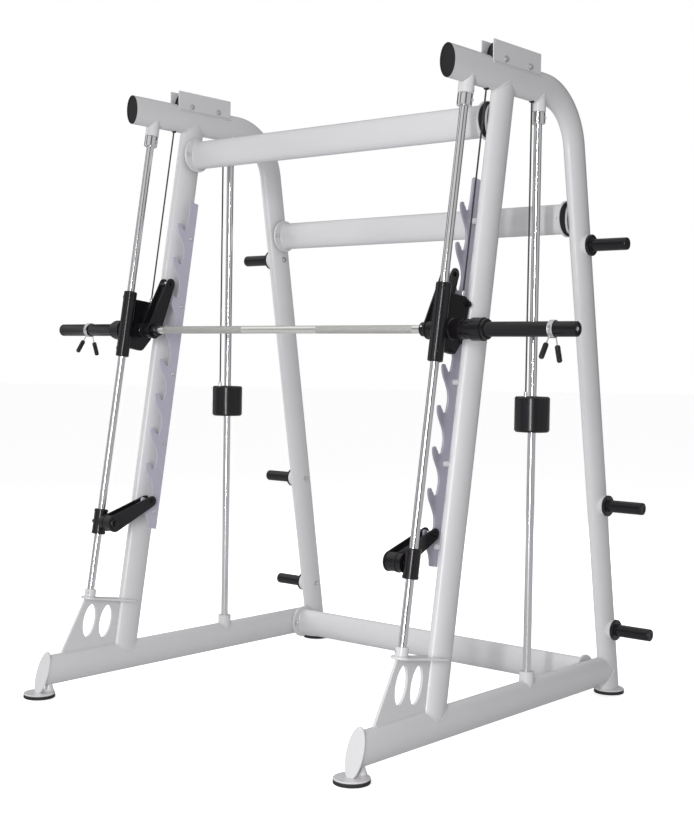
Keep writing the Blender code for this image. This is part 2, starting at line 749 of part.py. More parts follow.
def build_carriage(side, s):
    """Rod housing, bearing plate and bar bosses; its origin is on the guide rod at bar height."""
    lean = LEAN[side]
    where = at(z=BAR_Z)
    carriage = node(
        f"carriage_{side}",
        cylinder(HOUSING_RADIUS, -HOUSING_BELOW_BAR, HOUSING_ABOVE_BAR, OVAL_SIDES),
        "black_paint", where, lean,
    )
    plate_outline = [
        (0.010, -0.078), (0.084, -0.079), (0.094, -0.074), (0.126, -0.028), (0.1285, -0.018),
        (0.1415, 0.098), (0.138, 0.107), (0.116, 0.117), (0.010, 0.112),
    ]
    plate = helper(
        f"bearing_plate_{side}", flat(plate_outline, BEARING_PLATE_THICK),
        where @ FLAT_TO_SIDE, lean,
    )
    bar_line = at(y=BAR_Y, z=BAR_Z) @ Matrix.Rotation(s * math.pi / 2, 4, "Y")
    inner_boss = helper(
        f"inner_boss_{side}", cylinder(INNER_BOSS_RADIUS, -INNER_BOSS_END, 0, OVAL_SIDES),
        bar_line, lean,
    )
    collar_boss = helper(
        f"collar_boss_{side}", cylinder(COLLAR_BOSS_RADIUS, 0, COLLAR_BOSS_END, OVAL_SIDES),
        bar_line, lean,
    )
    rod_bore = helper(
        f"housing_bore_{side}", cylinder(ROD_RADIUS + ROD_CLEARANCE, -0.3, 0.3), where, lean
    )
    bar_bore = helper(
        f"bar_bore_{side}", cylinder(BAR_RADIUS + BAR_CLEARANCE, -0.1, 0.1), bar_line, lean
    )
    join(carriage, plate, inner_boss, collar_boss)
    cut(carriage, rod_bore, bar_bore)


def build_bar():
    y, z = lean_to_world(BAR_Y, BAR_Z)
    half = BAR_LENGTH / 2 - 0.004
    node("bar", cylinder(BAR_RADIUS, -half, half), "knurled_steel", at(0, y, z) @ Z_TO_X)


def build_hook_arm(name, side, s, pivot, angle, length, drum_end, bore_radius):
    """A fork of two cheeks with a hub drum and a cross pin, turning about X at its origin."""
    lean = LEAN[side]
    where = at(y=pivot[0], z=pivot[1]) @ Matrix.Rotation(angle, 4, "X")
    outline = capsule((0, 0), ARM_HUB_RADIUS, (length, 0), ARM_TIP_RADIUS)
    inner_x = -s * (RACK_X + CHEEK_OFFSET)
    outer_x = -s * (RACK_X - CHEEK_OFFSET)
    arm = node(
        f"{name}_{side}", flat(outline, CHEEK_THICK), "black_paint",
        where @ at(inner_x) @ FLAT_TO_SIDE, lean,
    )
    outer = helper(
        f"{name}_outer_cheek_{side}", flat(outline, CHEEK_THICK),
        where @ at(outer_x) @ FLAT_TO_SIDE, lean,
    )
    across = Matrix.Rotation(-s * math.pi / 2, 4, "Y")
    drum = helper(
        f"{name}_drum_{side}",
        cylinder(DRUM_RADIUS, drum_end, CHEEK_INNER - CHEEK_THICK / 2, OVAL_SIDES),
        where @ across, lean,
    )
    pin = helper(
        f"{name}_pin_{side}",
        cylinder(PIN_RADIUS, CHEEK_OUTER + 0.001, CHEEK_INNER - 0.001, PIN_SIDES),
        where @ at(y=length) @ across, lean,
    )
    bore = helper(f"{name}_bore_{side}", cylinder(bore_radius, -0.01, 0.2), where @ across, lean)
    join(arm, outer, drum, pin)
    cut(arm, bore)


def build_sleeve(side, s):
    """Bar sleeve with its shoulder flange, turned about the bar."""
    bore, bevel = BAR_RADIUS + BAR_CLEARANCE, 0.004
    flange_end = SLEEVE_START + FLANGE_LENGTH
    profile = [
        (bore, SLEEVE_END), (SLEEVE_RADIUS - bevel, SLEEVE_END),
        (SLEEVE_RADIUS, SLEEVE_END - bevel), (SLEEVE_RADIUS, flange_end),
        (FLANGE_RADIUS - bevel, flange_end), (FLANGE_RADIUS, flange_end - bevel),
        (FLANGE_RADIUS, SLEEVE_START), (bore, SLEEVE_START),
    ]
    turned(
        f"sleeve_{side}", profile, "black_paint",
        at(y=BAR_Y, z=BAR_Z) @ Matrix.Rotation(s * math.pi / 2, 4, "Y"), LEAN[side], ring=True,
    )


def build_spring_clip(side, s):
    lean = LEAN[side]
    clip_x = s * (SLEEVE_END - CLIP_FROM_END[side])
    where = at(clip_x, BAR_Y, BAR_Z) @ Matrix.Rotation(s * math.pi / 2, 4, "Y")
    half, bore = CLIP_WIDTH / 2, SLEEVE_RADIUS + GAP
    profile = [(bore, half), (CLIP_RADIUS, half), (CLIP_RADIUS, -half), (bore, -half)]
    clip = turned(f"spring_clip_{side}", profile, "black_plastic", where, lean, ring=True)
    for number, splay in enumerate(GRIP_SPLAY):
        offset = (number - 0.5) * half
        hang = at(clip_x + offset, BAR_Y, BAR_Z) @ Matrix.Rotation(ROD_LEAN + splay, 4, "X")
        neck = helper(
            f"clip_neck_{number}_{side}",
            cylinder(0.003, -GRIP_REACH[0] - 0.004, -SLEEVE_RADIUS - 0.002, 8), hang, lean,
        )
        grip = helper(
            f"clip_grip_{number}_{side}",
            cylinder(GRIP_RADIUS, -GRIP_REACH[1], -GRIP_REACH[0], PIN_SIDES), hang, lean,
        )
        join(clip, neck, grip)


def build_safety_stop(side, s):
    """Stop block on the guide rod, with the pivot that its hook arm turns on."""
    lean = LEAN[side]
    where = at(z=STOP_Z)
    stop = node(
        f"safety_stop_{side}",
        cylinder(STOP_RADIUS, -STOP_TALL / 2, STOP_TALL / 2, OVAL_SIDES), "black_paint", where, lean,
    )
    pivot = helper(
        f"stop_pivot_{side}", cylinder(PIVOT_RADIUS, STOP_RADIUS * 0.8, CHEEK_INNER + 0.002),
        where @ Matrix.Rotation(-s * math.pi / 2, 4, "Y"), lean,
    )
    bore = helper(
        f"stop_bore_{side}", cylinder(ROD_RADIUS + ROD_CLEARANCE, -0.2, 0.2), where, lean
    )
    join(stop, pivot)
    cut(stop, bore)


# Pulleys, bracket, cables and counterweights


def build_pulley_bracket(side, s):
    """Two upright plates welded across the top tube, with the two pulley axles."""
    where = at(s * HALF_SPAN, 0, 0)
    front_y = FRONT_PULLEY_Y - PULLEY_RADIUS - BRACKET_MARGIN
    rear_y = REAR_PULLEY_Y + PULLEY_RADIUS + BRACKET_MARGIN
    low, high = TOP_TUBE_Z + TUBE_TALL * 0.2, TOP_TUBE_Z + BRACKET_TOP
    outline = [(front_y, low), (rear_y, low), (rear_y, high), (front_y, high)]
    offset = (BRACKET_GAP + BRACKET_THICK) / 2
    bracket = node(
        f"pulley_bracket_{side}", flat(outline, BRACKET_THICK), "frame_paint",
        where @ at(offset) @ FLAT_TO_SIDE,
    )
    far = helper(
        f"bracket_far_plate_{side}", flat(outline, BRACKET_THICK),
        where @ at(-offset) @ FLAT_TO_SIDE,
    )
    cut_low = ENVELOPES["arch", side]
    join(bracket, far)
    for name, y in (("front", FRONT_PULLEY_Y), ("rear", REAR_PULLEY_Y)):
        half = offset + BRACKET_THICK
        axle = helper(
            f"{name}_axle_{side}", cylinder(AXLE_RADIUS, -half, half),
            where @ at(0, y, AXLE_Z) @ Z_TO_X,
        )
        join(bracket, axle)
    cut(bracket, cut_low)


def build_pulleys(side, s):
    half, bore = PULLEY_THICK / 2, AXLE_RADIUS + GAP
    root = PULLEY_PITCH_RADIUS - CABLE_RADIUS - GROOVE_ROOM
    profile = [
        (bore, half), (PULLEY_RADIUS, half), (PULLEY_RADIUS, 0.0065), (root, 0.0035),
        (root, -0.0035), (PULLEY_RADIUS, -0.0065), (PULLEY_RADIUS, -half), (bore, -half),
    ]
    for name, y in (("front", FRONT_PULLEY_Y), ("rear", REAR_PULLEY_Y)):
        turned(
            f"{name}_pulley_{side}", profile, "black_plastic",
            at(s * HALF_SPAN, y, AXLE_Z) @ Z_TO_X, ring=True,
        )


def build_cables(side, s):
    """Front run beside the guide rod, the turn over the pulleys, and the rear run."""
    x = s * HALF_SPAN
    leave = lean_height(AXLE_Z, CABLE_Y + PULLEY_PITCH_RADIUS)
    start = BAR_Z + 0.118 + GAP
    node(
        f"bar_cable_{side}", cable([(0, CABLE_Y, start), (0, CABLE_Y, leave - CABLE_JOINT_GAP)]), "cable",
        None, LEAN[side],
    )
    first = math.degrees(math.pi - ROD_LEAN)
    over = arc((FRONT_PULLEY_Y, AXLE_Z), PULLEY_PITCH_RADIUS, first, 90, 6) + arc(
        (REAR_PULLEY_Y, AXLE_Z), PULLEY_PITCH_RADIUS, 90, 0, 6
    )
    node(f"top_cable_{side}", cable([(0, y, z) for y, z in over]), "cable", at(x))
    node(
        f"weight_cable_{side}",
        cable([(0, REAR_CABLE_Y, AXLE_Z - CABLE_JOINT_GAP), (0, REAR_CABLE_Y, WEIGHT_TOP_Z + GAP)]),
        "cable", at(x),
    )


def build_counterweight(side, s):
    bore, bevel = ROD_RADIUS + ROD_CLEARANCE, 0.005
    profile = [
        (bore, 0), (WEIGHT_RADIUS - bevel, 0), (WEIGHT_RADIUS, -bevel),
        (WEIGHT_RADIUS, -WEIGHT_TALL + bevel), (WEIGHT_RADIUS - bevel, -WEIGHT_TALL),
        (bore, -WEIGHT_TALL),
    ]
    turned(
        f"counterweight_{side}", profile, "black_paint",
        at(s * HALF_SPAN, WEIGHT_ROD_Y, WEIGHT_TOP_Z), ring=True,
    )


# Crossbars and plate pegs


def build_crossbar(name, y, z):
    """Oval tube between the side frames, with a round flange at each end."""
    end = HALF_SPAN - TUBE_WIDE / 2 - GAP
    where = at(0, y, z) @ Z_TO_X
    bar = node(name, oval(TUBE_TALL / 2, TUBE_WIDE / 2, -end, end), "frame_paint", where)
    for side, s in SIDES.items():
        low, high = sorted((s * end, s * (end - FLANGE_THICK)))
        flange = helper(
            f"{name}_flange_{side}",
            cylinder(CROSSBAR_FLANGE_RADIUS, low, high, OVAL_SIDES), where,
        )
        join(bar, flange)
    inside = helper(
        f"{name}_hollow",
        oval(TUBE_TALL / 2 - TUBE_WALL, TUBE_WIDE / 2 - TUBE_WALL, -end - 0.01, end + 0.01), where,
    )
    cut(bar, inside)


def build_crossbars():
    front_z = TOP_TUBE_Z - UPPER_FRONT_DROP
    along = lean_height(front_z, ROD_TO_UPRIGHT)
    build_crossbar("upper_front_crossbar", lean_to_world(ROD_TO_UPRIGHT, along)[0], front_z)
    rear_z = TOP_TUBE_Z - UPPER_REAR_DROP
    build_crossbar("upper_rear_crossbar", rear_axis_y(rear_z), rear_z)
    build_crossbar("lower_rear_crossbar", FOOT_REACH - LOWER_REAR_INSET, RAIL_Z)


def build_plate_pegs(side, s):
    bevel = 0.004
    profile = [
        (0, PEG_LENGTH), (PEG_RADIUS - bevel, PEG_LENGTH), (PEG_RADIUS, PEG_LENGTH - bevel),
        (PEG_RADIUS, PEG_RING_THICK), (PEG_RING_RADIUS - 0.003, PEG_RING_THICK),
        (PEG_RING_RADIUS, PEG_RING_THICK - 0.003), (PEG_RING_RADIUS, 0), (0, 0),
    ]
    base_x = s * (HALF_SPAN + TUBE_WIDE / 2 + PEG_BOSS_LENGTH + GAP)
    for name, z in peg_heights().items():
        turned(
            f"{name}_plate_peg_{side}", profile, "black_paint",
            at(base_x, rear_axis_y(z), z) @ Matrix.Rotation(s * math.pi / 2, 4, "Y"),
        )


# Assembly


def build_envelopes(side, s):
    """Neighbouring tubes with the touching gap added, for coping."""
    x = s * HALF_SPAN
    ENVELOPES["rail", side] = helper(
        f"rail_envelope_{side}", rail_solid(GAP, -1.2, 1.2), at(x, 0, RAIL_Z) @ Z_TO_Y
    )
    ENVELOPES["rail_plate", side] = helper(
        f"rail_plate_envelope_{side}",
        box((-0.1, -0.2, -0.2), (0.1, 0.2, END_PLATE_THICK / 2 + GAP)), end_plate_frame(x),
    )
    ENVELOPES["arch", side] = helper(f"arch_envelope_{side}", arch_solid(GAP), at(x))
    ENVELOPES["upright", side] = helper(
        f"upright_envelope_{side}", upright_solid(GAP, 0.1), at(y=ROD_TO_UPRIGHT), LEAN[side]
    )


def build_side(side, s):
    LEAN[side] = empty(
        f"lean_{side}", at(s * HALF_SPAN, ROD_FLOOR_Y, 0) @ Matrix.Rotation(-ROD_LEAN, 4, "X")
    )
    build_envelopes(side, s)
    build_base_rail(side, s)
    build_front_upright(side, s)
    build_rear_arch(side, s)
    build_rod_shelf(side, s)
    build_top_end_cap(side, s)
    build_foot_pads(side, s)
    build_rods(side, s)
    build_hook_rack(side, s)
    build_carriage(side, s)
    build_hook_arm(
        "bar_hook", side, s, (BAR_Y, BAR_Z), CLEAR_ANGLE, ARM_LENGTH,
        INNER_BOSS_END + GAP, BAR_RADIUS + GAP,
    )
    build_sleeve(side, s)
    build_spring_clip(side, s)
    build_safety_stop(side, s)
    build_hook_arm(
        "stop_hook", side, s, (0.0, STOP_Z), STOP_ANGLE, STOP_ARM_LENGTH,
        STOP_RADIUS + GAP, PIVOT_RADIUS + GAP,
    )
    build_pulley_bracket(side, s)
    build_pulleys(side, s)
    build_cables(side, s)
    build_counterweight(side, s)
    build_plate_pegs(side, s)


clear_scene()
PARTS = new_collection("smith_machine")
CUTTERS = new_collection("cutters")
LEAN = {}
ENVELOPES = {}
MATERIALS = {
    "frame_paint": new_material("frame_paint", (0.70, 0.70, 0.68), 0.35, 0.0),
    "rack_paint": new_material("rack_paint", (0.52, 0.51, 0.58), 0.40, 0.0),
    "black_paint": new_material("black_paint", (0.022, 0.020, 0.024), 0.35, 0.0),
    "black_plastic": new_material("black_plastic", (0.018, 0.018, 0.019), 0.50, 0.0),
    "rubber": new_material("rubber", (0.015, 0.015, 0.015), 0.85, 0.0),
    "chrome": new_material("chrome", (0.80, 0.80, 0.82), 0.08, 1.0),
    "knurled_steel": new_material("knurled_steel", (0.55, 0.55, 0.54), 0.35, 1.0),
    "cable": new_material("cable", (0.02, 0.02, 0.02), 0.45, 0.0),
}
for side_name, side_sign in SIDES.items():
    build_side(side_name, side_sign)
build_bar()
build_crossbars()
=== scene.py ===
import json
import math

import bmesh
import bpy
from mathutils import Matrix, Vector

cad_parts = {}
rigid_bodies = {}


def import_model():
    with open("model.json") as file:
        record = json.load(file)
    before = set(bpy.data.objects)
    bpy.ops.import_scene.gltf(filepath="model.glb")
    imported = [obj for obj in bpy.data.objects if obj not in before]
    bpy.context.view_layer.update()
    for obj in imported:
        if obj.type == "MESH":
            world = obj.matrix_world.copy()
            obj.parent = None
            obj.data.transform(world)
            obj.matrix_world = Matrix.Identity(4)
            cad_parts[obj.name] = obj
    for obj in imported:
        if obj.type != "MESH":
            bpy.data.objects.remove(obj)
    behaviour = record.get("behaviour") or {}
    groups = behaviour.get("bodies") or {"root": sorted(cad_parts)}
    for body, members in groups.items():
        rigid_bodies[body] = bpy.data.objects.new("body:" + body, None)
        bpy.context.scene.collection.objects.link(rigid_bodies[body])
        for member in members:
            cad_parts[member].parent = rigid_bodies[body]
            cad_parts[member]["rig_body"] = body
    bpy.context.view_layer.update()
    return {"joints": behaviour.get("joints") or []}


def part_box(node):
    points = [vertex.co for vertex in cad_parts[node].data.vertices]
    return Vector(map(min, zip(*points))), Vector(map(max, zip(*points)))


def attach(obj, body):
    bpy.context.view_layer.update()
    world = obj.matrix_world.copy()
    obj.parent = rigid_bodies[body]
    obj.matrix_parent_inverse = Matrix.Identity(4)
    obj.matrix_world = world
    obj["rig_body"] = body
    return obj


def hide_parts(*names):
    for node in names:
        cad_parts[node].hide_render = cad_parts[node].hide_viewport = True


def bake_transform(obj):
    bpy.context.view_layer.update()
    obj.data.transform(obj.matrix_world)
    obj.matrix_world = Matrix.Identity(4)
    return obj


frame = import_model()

bl_info = {
    "name": "Smith machine",
    "version": (1, 0, 0),
    "blender": (4, 5, 0),
    "location": "3D View > Sidebar > Smith machine",
    "description": "Finished surfaces, fastenings and stage for a leaning-rod smith machine",
    "category": "Add Mesh",
}

JOINTS = {joint["name"]: joint for joint in frame["joints"]}
SIDES = {"left": -1, "right": 1}
GAP = 0.0003  # between faces that meet
BORE_ROOM = 0.0004  # between a rod and the socket round it
SOCKET_WALL = 0.012
SOCKET_TALL = 0.030  # socket above the tube or the shelf that it stands on
FOOT_PLATE_TOP = 0.0053  # above the rubber pad
RAIL_END_SLOPE = math.radians(17.5)
NOTCH_Y = 0.169  # seat of a hook's pin, square to the guide rod
HOUSING_RADIUS = 0.025  # carriages and safety stops
BAR_ARM, STOP_ARM = 0.200, 0.196  # from pivot to pin
ROUND = 56
FINISHES = {}


# The frame's own places, read from the joints and the nodes' boxes


def joint_place(name):
    return Vector(JOINTS[name]["pos_m"])


def middle(node):
    low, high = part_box(node)
    return (low + high) / 2


HALF_SPAN = joint_place("stop_swing_right").x
ROD_DIRECTION = Vector(JOINTS["bar_lift"]["axis"]).normalized()
ROD_LEAN = math.atan2(ROD_DIRECTION.y, ROD_DIRECTION.z)
STOP = joint_place("stop_swing_right")
ROD_FLOOR_Y = STOP.y - STOP.z * math.tan(ROD_LEAN)
TOP_Z = middle("top_end_cap_right").z
RAIL_Z = middle("lower_rear_crossbar").z
FOOT_Y = middle("rear_foot_pad_right").y
PAD_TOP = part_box("rear_foot_pad_right")[1].z
WEIGHT_ROD_Y = middle("weight_rod_right").y
BAR = joint_place("bar_turn")
FRONT_PULLEY = joint_place("front_pulley_turn_right")
REAR_PULLEY = joint_place("rear_pulley_turn_right")
TOP_FRONT_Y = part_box("rear_arch_right")[0].y
BAR_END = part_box("sleeve_right")[1].x


def lean(side):
    """The leaning frame of one side: x across, y square to the guide rod, z along it."""
    foot = Matrix.Translation((SIDES[side] * HALF_SPAN, ROD_FLOOR_Y, 0))
    return foot @ Matrix.Rotation(-ROD_LEAN, 4, "X")


def lean_height(world_z, y=0.0):
    return (world_z + y * math.sin(ROD_LEAN)) / math.cos(ROD_LEAN)


BAR_LOCAL = lean("right").inverted() @ (Vector((HALF_SPAN, 0, 0)) + BAR)
STOP_LOCAL = lean("right").inverted() @ STOP


class SmithMachineSizes(bpy.types.PropertyGroup):
    """Sizes of the finished pieces."""

    def length(name, description, default):
        return bpy.props.FloatProperty(
            name=name, description=description, default=default, min=0, unit="LENGTH", precision=4
        )

    tube_wide: length("Tube width", "Oval frame tube, across the machine", 0.060)
    tube_tall: length("Tube height", "Oval frame tube, along its long side", 0.110)
    tube_wall: length("Tube wall", "Wall of the frame tube", 0.003)
    bend_radius: length("Bend radius", "Centre line of the rear arch's bend", 0.207)
    weld: length("Weld bead", "Radius of the weld beads", 0.0028)
    rod_radius: length("Rod radius", "Guide rods and weight rods", 0.014)
    upright_offset: length("Upright offset", "Guide rod to front upright", 0.2039)
    hook_pitch: length("Hook pitch", "Between the prongs of a rack", 0.1356)
    rack_offset: length("Rack offset", "Front upright to rack, across", 0.068)
    bar_radius: length("Bar radius", "Lifting bar", 0.014)
    sleeve_radius: length("Sleeve radius", "Bar sleeve", 0.02375)
    flange_radius: length("Flange radius", "Shoulder of the bar sleeve", 0.0375)
    peg_radius: length("Peg radius", "Plate storage pegs", 0.0225)
    cable_radius: length("Cable radius", "Coated wire rope", 0.003)
    weight_radius: length("Counterweight radius", "Counterweights", 0.0615)
    rear_lean: bpy.props.FloatProperty(
        name="Rear lean", description="Rear upright from the vertical",
        default=math.atan(0.1693), subtype="ANGLE",
    )
    knurl_from: length("Knurl start", "From the middle of the bar", 0.18)
    knurl_to: length("Knurl end", "From the middle of the bar", 0.60)


class SmithMachineColours(bpy.types.PropertyGroup):
    """Colours of the finishes."""

    def colour(name, description, default):
        return bpy.props.FloatVectorProperty(
            name=name, description=description, default=default, min=0, max=1, subtype="COLOR"
        )

    frame: colour("Frame", "Powder coat of the tubes", (0.57, 0.562, 0.578))
    rack: colour("Rack", "Powder coat of the hook racks", (0.42, 0.41, 0.49))
    black: colour("Black", "Satin black paint", (0.0075, 0.0065, 0.008))
    plastic: colour("Plastic", "Black mouldings", (0.010, 0.0095, 0.0105))
    rubber: colour("Rubber", "Foot pads and gaskets", (0.013, 0.013, 0.013))
    chrome: colour("Chrome", "Rods, collars and bolts", (0.78, 0.78, 0.80))
    steel: colour("Steel", "Knurled bar", (0.97, 0.96, 0.93))
    floor: colour("Floor", "Studio floor", (0.93, 0.93, 0.93))


def sizes():
    return bpy.context.scene.smith_machine_sizes


def colours():
    return bpy.context.scene.smith_machine_colours


# Node groups and finishes


def new_group(name, inputs, outputs):
    group = bpy.data.node_groups.new(name, "ShaderNodeTree")
    for label, kind, default in inputs:
        socket = group.interface.new_socket(label, in_out="INPUT", socket_type=kind)
        socket.default_value = default
    for label, kind in outputs:
        group.interface.new_socket(label, in_out="OUTPUT", socket_type=kind)
    return group, group.nodes.new("NodeGroupInput"), group.nodes.new("NodeGroupOutput")


def add_node(tree, kind, links=None, **settings):
    """A shader node with some attributes set and some inputs linked or given a value."""
    node = tree.nodes.new(kind)
    for name, value in settings.items():
        setattr(node, name, value)
    for name, source in (links or {}).items():
        if isinstance(source, bpy.types.NodeSocket):
            tree.links.new(source, node.inputs[name])
        else:
            node.inputs[name].default_value = source
    return node


def maths(tree, operation, first, second=None, third=None):
    values = (value for value in (first, second, third) if value is not None)
    return add_node(
        tree, "ShaderNodeMath", dict(enumerate(values)), operation=operation
    ).outputs[0]


def grain_group():
    """Fine orange peel and a slow drift of tone."""
    group, given, made = new_group(
        "coat_grain",
        [
            ("Color", "NodeSocketColor", (1, 1, 1, 1)), ("Grain Scale", "NodeSocketFloat", 900.0),
            ("Drift", "NodeSocketFloat", 0.06), ("Roughness", "NodeSocketFloat", 0.4),
            ("Roughness Drift", "NodeSocketFloat", 0.1),
        ],
        [
            ("Color", "NodeSocketColor"), ("Roughness", "NodeSocketFloat"),
            ("Height", "NodeSocketFloat"),
        ],
    )
    place = add_node(group, "ShaderNodeTexCoord").outputs["Object"]
    slow = add_node(
        group, "ShaderNodeTexNoise", {"Vector": place, "Scale": 7.0, "Detail": 5.0, "Roughness": 0.6}
    ).outputs["Fac"]
    fine = add_node(
        group, "ShaderNodeTexNoise",
        {"Vector": place, "Scale": given.outputs["Grain Scale"], "Detail": 2.0},
    ).outputs["Fac"]
    swing = maths(group, "SUBTRACT", slow, 0.5)
    tone = maths(group, "MULTIPLY_ADD", swing, given.outputs["Drift"], 1.0)
    shade = add_node(
        group, "ShaderNodeVectorMath", {0: given.outputs["Color"]}, operation="SCALE"
    )
    group.links.new(tone, shade.inputs["Scale"])
    rough = maths(group, "MULTIPLY", swing, given.outputs["Roughness Drift"])
    rough = maths(group, "ADD", rough, given.outputs["Roughness"])
    group.links.new(shade.outputs[0], made.inputs["Color"])
    group.links.new(rough, made.inputs["Roughness"])
    group.links.new(fine, made.inputs["Height"])
    return group


def dust_group():
    """Dust that settles on faces that look up, broken by a noise."""
    group, given, made = new_group(
        "settled_dust",
        [("Amount", "NodeSocketFloat", 0.2), ("Scale", "NodeSocketFloat", 40.0)],
        [("Mask", "NodeSocketFloat")],
    )
    facing = add_node(group, "ShaderNodeNewGeometry").outputs["Normal"]
    up = add_node(group, "ShaderNodeSeparateXYZ", {0: facing}).outputs["Z"]
    place = add_node(group, "ShaderNodeTexCoord").outputs["Object"]
    patches = add_node(
        group, "ShaderNodeTexNoise",
        {"Vector": place, "Scale": given.outputs["Scale"], "Detail": 6.0, "Roughness": 0.7},
    ).outputs["Fac"]
    top = add_node(group, "ShaderNodeMapRange", {"Value": up, "From Min": 0.35, "From Max": 1.0})
    spread = maths(group, "MULTIPLY", top.outputs[0], patches)
    group.links.new(maths(group, "MULTIPLY", spread, given.outputs["Amount"]), made.inputs["Mask"])
    return group


def streak_group():
    """Faint lengthwise marks that bearings and hands leave on polished metal."""
    group, given, made = new_group(
        "rub_streaks",
        [
            ("Stretch", "NodeSocketVector", (260.0, 260.0, 3.0)),
            ("Low", "NodeSocketFloat", 0.08), ("High", "NodeSocketFloat", 0.22),
        ],
        [("Roughness", "NodeSocketFloat"), ("Height", "NodeSocketFloat")],
    )
    place = add_node(group, "ShaderNodeTexCoord").outputs["Object"]
    long_way = add_node(
        group, "ShaderNodeVectorMath", {0: place, 1: given.outputs["Stretch"]}, operation="MULTIPLY"
    ).outputs[0]
    marks = add_node(
        group, "ShaderNodeTexNoise", {"Vector": long_way, "Scale": 1.0, "Detail": 4.0}
    ).outputs["Fac"]
    rough = add_node(
        group, "ShaderNodeMapRange",
        {"Value": marks, "From Min": 0.35, "From Max": 0.75, "To Min": given.outputs["Low"],
         "To Max": given.outputs["High"]},
    )
    group.links.new(rough.outputs[0], made.inputs["Roughness"])
    group.links.new(marks, made.inputs["Height"])
    return group


def knurl_group():
    """Diamond knurling round an X axis, between two distances from the middle."""
    group, given, made = new_group(
        "diamond_knurl",
        [
            ("From", "NodeSocketFloat", 0.18), ("To", "NodeSocketFloat", 0.6),
            ("Pitch", "NodeSocketFloat", 0.0024), ("Turns", "NodeSocketFloat", 36.0),
        ],
        [("Height", "NodeSocketFloat"), ("Mask", "NodeSocketFloat")],
    )
    place = add_node(group, "ShaderNodeTexCoord").outputs["Object"]
    axes = add_node(group, "ShaderNodeSeparateXYZ", {0: place})
    angle = maths(group, "ARCTAN2", axes.outputs["Y"], axes.outputs["Z"])
    round_way = maths(group, "MULTIPLY", angle, given.outputs["Turns"])
    along = maths(group, "MULTIPLY", axes.outputs["X"], 2 * math.pi)
    along = maths(group, "DIVIDE", along, given.outputs["Pitch"])
    ridges = [
        maths(group, "ABSOLUTE", maths(group, "SINE", maths(group, "MULTIPLY", mixed, 0.5)))
        for mixed in (
            maths(group, "ADD", along, round_way), maths(group, "SUBTRACT", along, round_way)
        )
    ]
    reach = maths(group, "ABSOLUTE", axes.outputs["X"])
    after = maths(group, "GREATER_THAN", reach, given.outputs["From"])
    before = maths(group, "LESS_THAN", reach, given.outputs["To"])
    mask = maths(group, "MULTIPLY", after, before)
    height = maths(group, "MULTIPLY", maths(group, "MINIMUM", *ridges), mask)
    group.links.new(height, made.inputs["Height"])
    group.links.new(mask, made.inputs["Mask"])
    return group


def new_finish(name, metallic=0.0, **shader_values):
    material = bpy.data.materials.new(name)
    material.use_nodes = True
    tree = material.node_tree
    shader = tree.nodes["Principled BSDF"]
    shader.inputs["Metallic"].default_value = metallic
    for label, value in shader_values.items():
        shader.inputs[label.replace("_", " ")].default_value = value
    FINISHES[name] = material
    return tree, shader


def place_group(tree, group, **values):
    node = tree.nodes.new("ShaderNodeGroup")
    node.node_tree = group
    for label, value in values.items():
        node.inputs[label.replace("_", " ")].default_value = value
    return node


def bump(tree, shader, height, strength, distance):
    raised = add_node(
        tree, "ShaderNodeBump", {"Height": height, "Strength": strength, "Distance": distance}
    )
    tree.links.new(raised.outputs["Normal"], shader.inputs["Normal"])


def coated(name, colour, groups, grain, drift, rough, rough_drift, depth, dust, dust_colour, **more):
    """A painted, moulded or rubber finish with grain, drift and settled dust."""
    tree, shader = new_finish(name, **more)
    coat = place_group(
        tree, groups["grain"], Color=(*colour, 1), Grain_Scale=grain, Drift=drift,
        Roughness=rough, Roughness_Drift=rough_drift,
    )
    mask = place_group(tree, groups["dust"], Amount=dust, Scale=45.0)
    mixed = add_node(tree, "ShaderNodeMix", data_type="RGBA")
    tree.links.new(mask.outputs["Mask"], mixed.inputs[0])
    tree.links.new(coat.outputs["Color"], mixed.inputs[6])
    mixed.inputs[7].default_value = (*dust_colour, 1)
    tree.links.new(mixed.outputs[2], shader.inputs["Base Color"])
    tree.links.new(coat.outputs["Roughness"], shader.inputs["Roughness"])
    bump(tree, shader, coat.outputs["Height"], 0.35, depth)


def soften_bounce(tree):
    """The floor looks pale to the eye but gives back less light to the undersides."""
    shader = tree.nodes["Principled BSDF"]
    pale = shader.inputs["Base Color"].links[0].from_socket
    path = add_node(tree, "ShaderNodeLightPath")
    mixed = add_node(tree, "ShaderNodeMix", data_type="RGBA")
    tree.links.new(path.outputs["Is Camera Ray"], mixed.inputs[0])
    mixed.inputs[6].default_value = (0.20, 0.20, 0.21, 1)
    tree.links.new(pale, mixed.inputs[7])
    tree.links.new(mixed.outputs[2], shader.inputs["Base Color"])
    glow = add_node(tree, "ShaderNodeMix", data_type="RGBA")
    tree.links.new(path.outputs["Is Camera Ray"], glow.inputs[0])
    glow.inputs[6].default_value = (0.6, 0.6, 0.6, 1)
    glow.inputs[7].default_value = (1.0, 1.0, 1.0, 1)
    tree.links.new(glow.outputs[2], shader.inputs["Emission Color"])
    shader.inputs["Emission Strength"].default_value = 0.48


def polished(name, colour, groups, stretch, low, high, depth):
    tree, shader = new_finish(name, metallic=1.0, Base_Color=(*colour, 1))
    marks = place_group(tree, groups["streak"], Stretch=stretch, Low=low, High=high)
    tree.links.new(marks.outputs["Roughness"], shader.inputs["Roughness"])
    bump(tree, shader, marks.outputs["Height"], 0.05, depth)


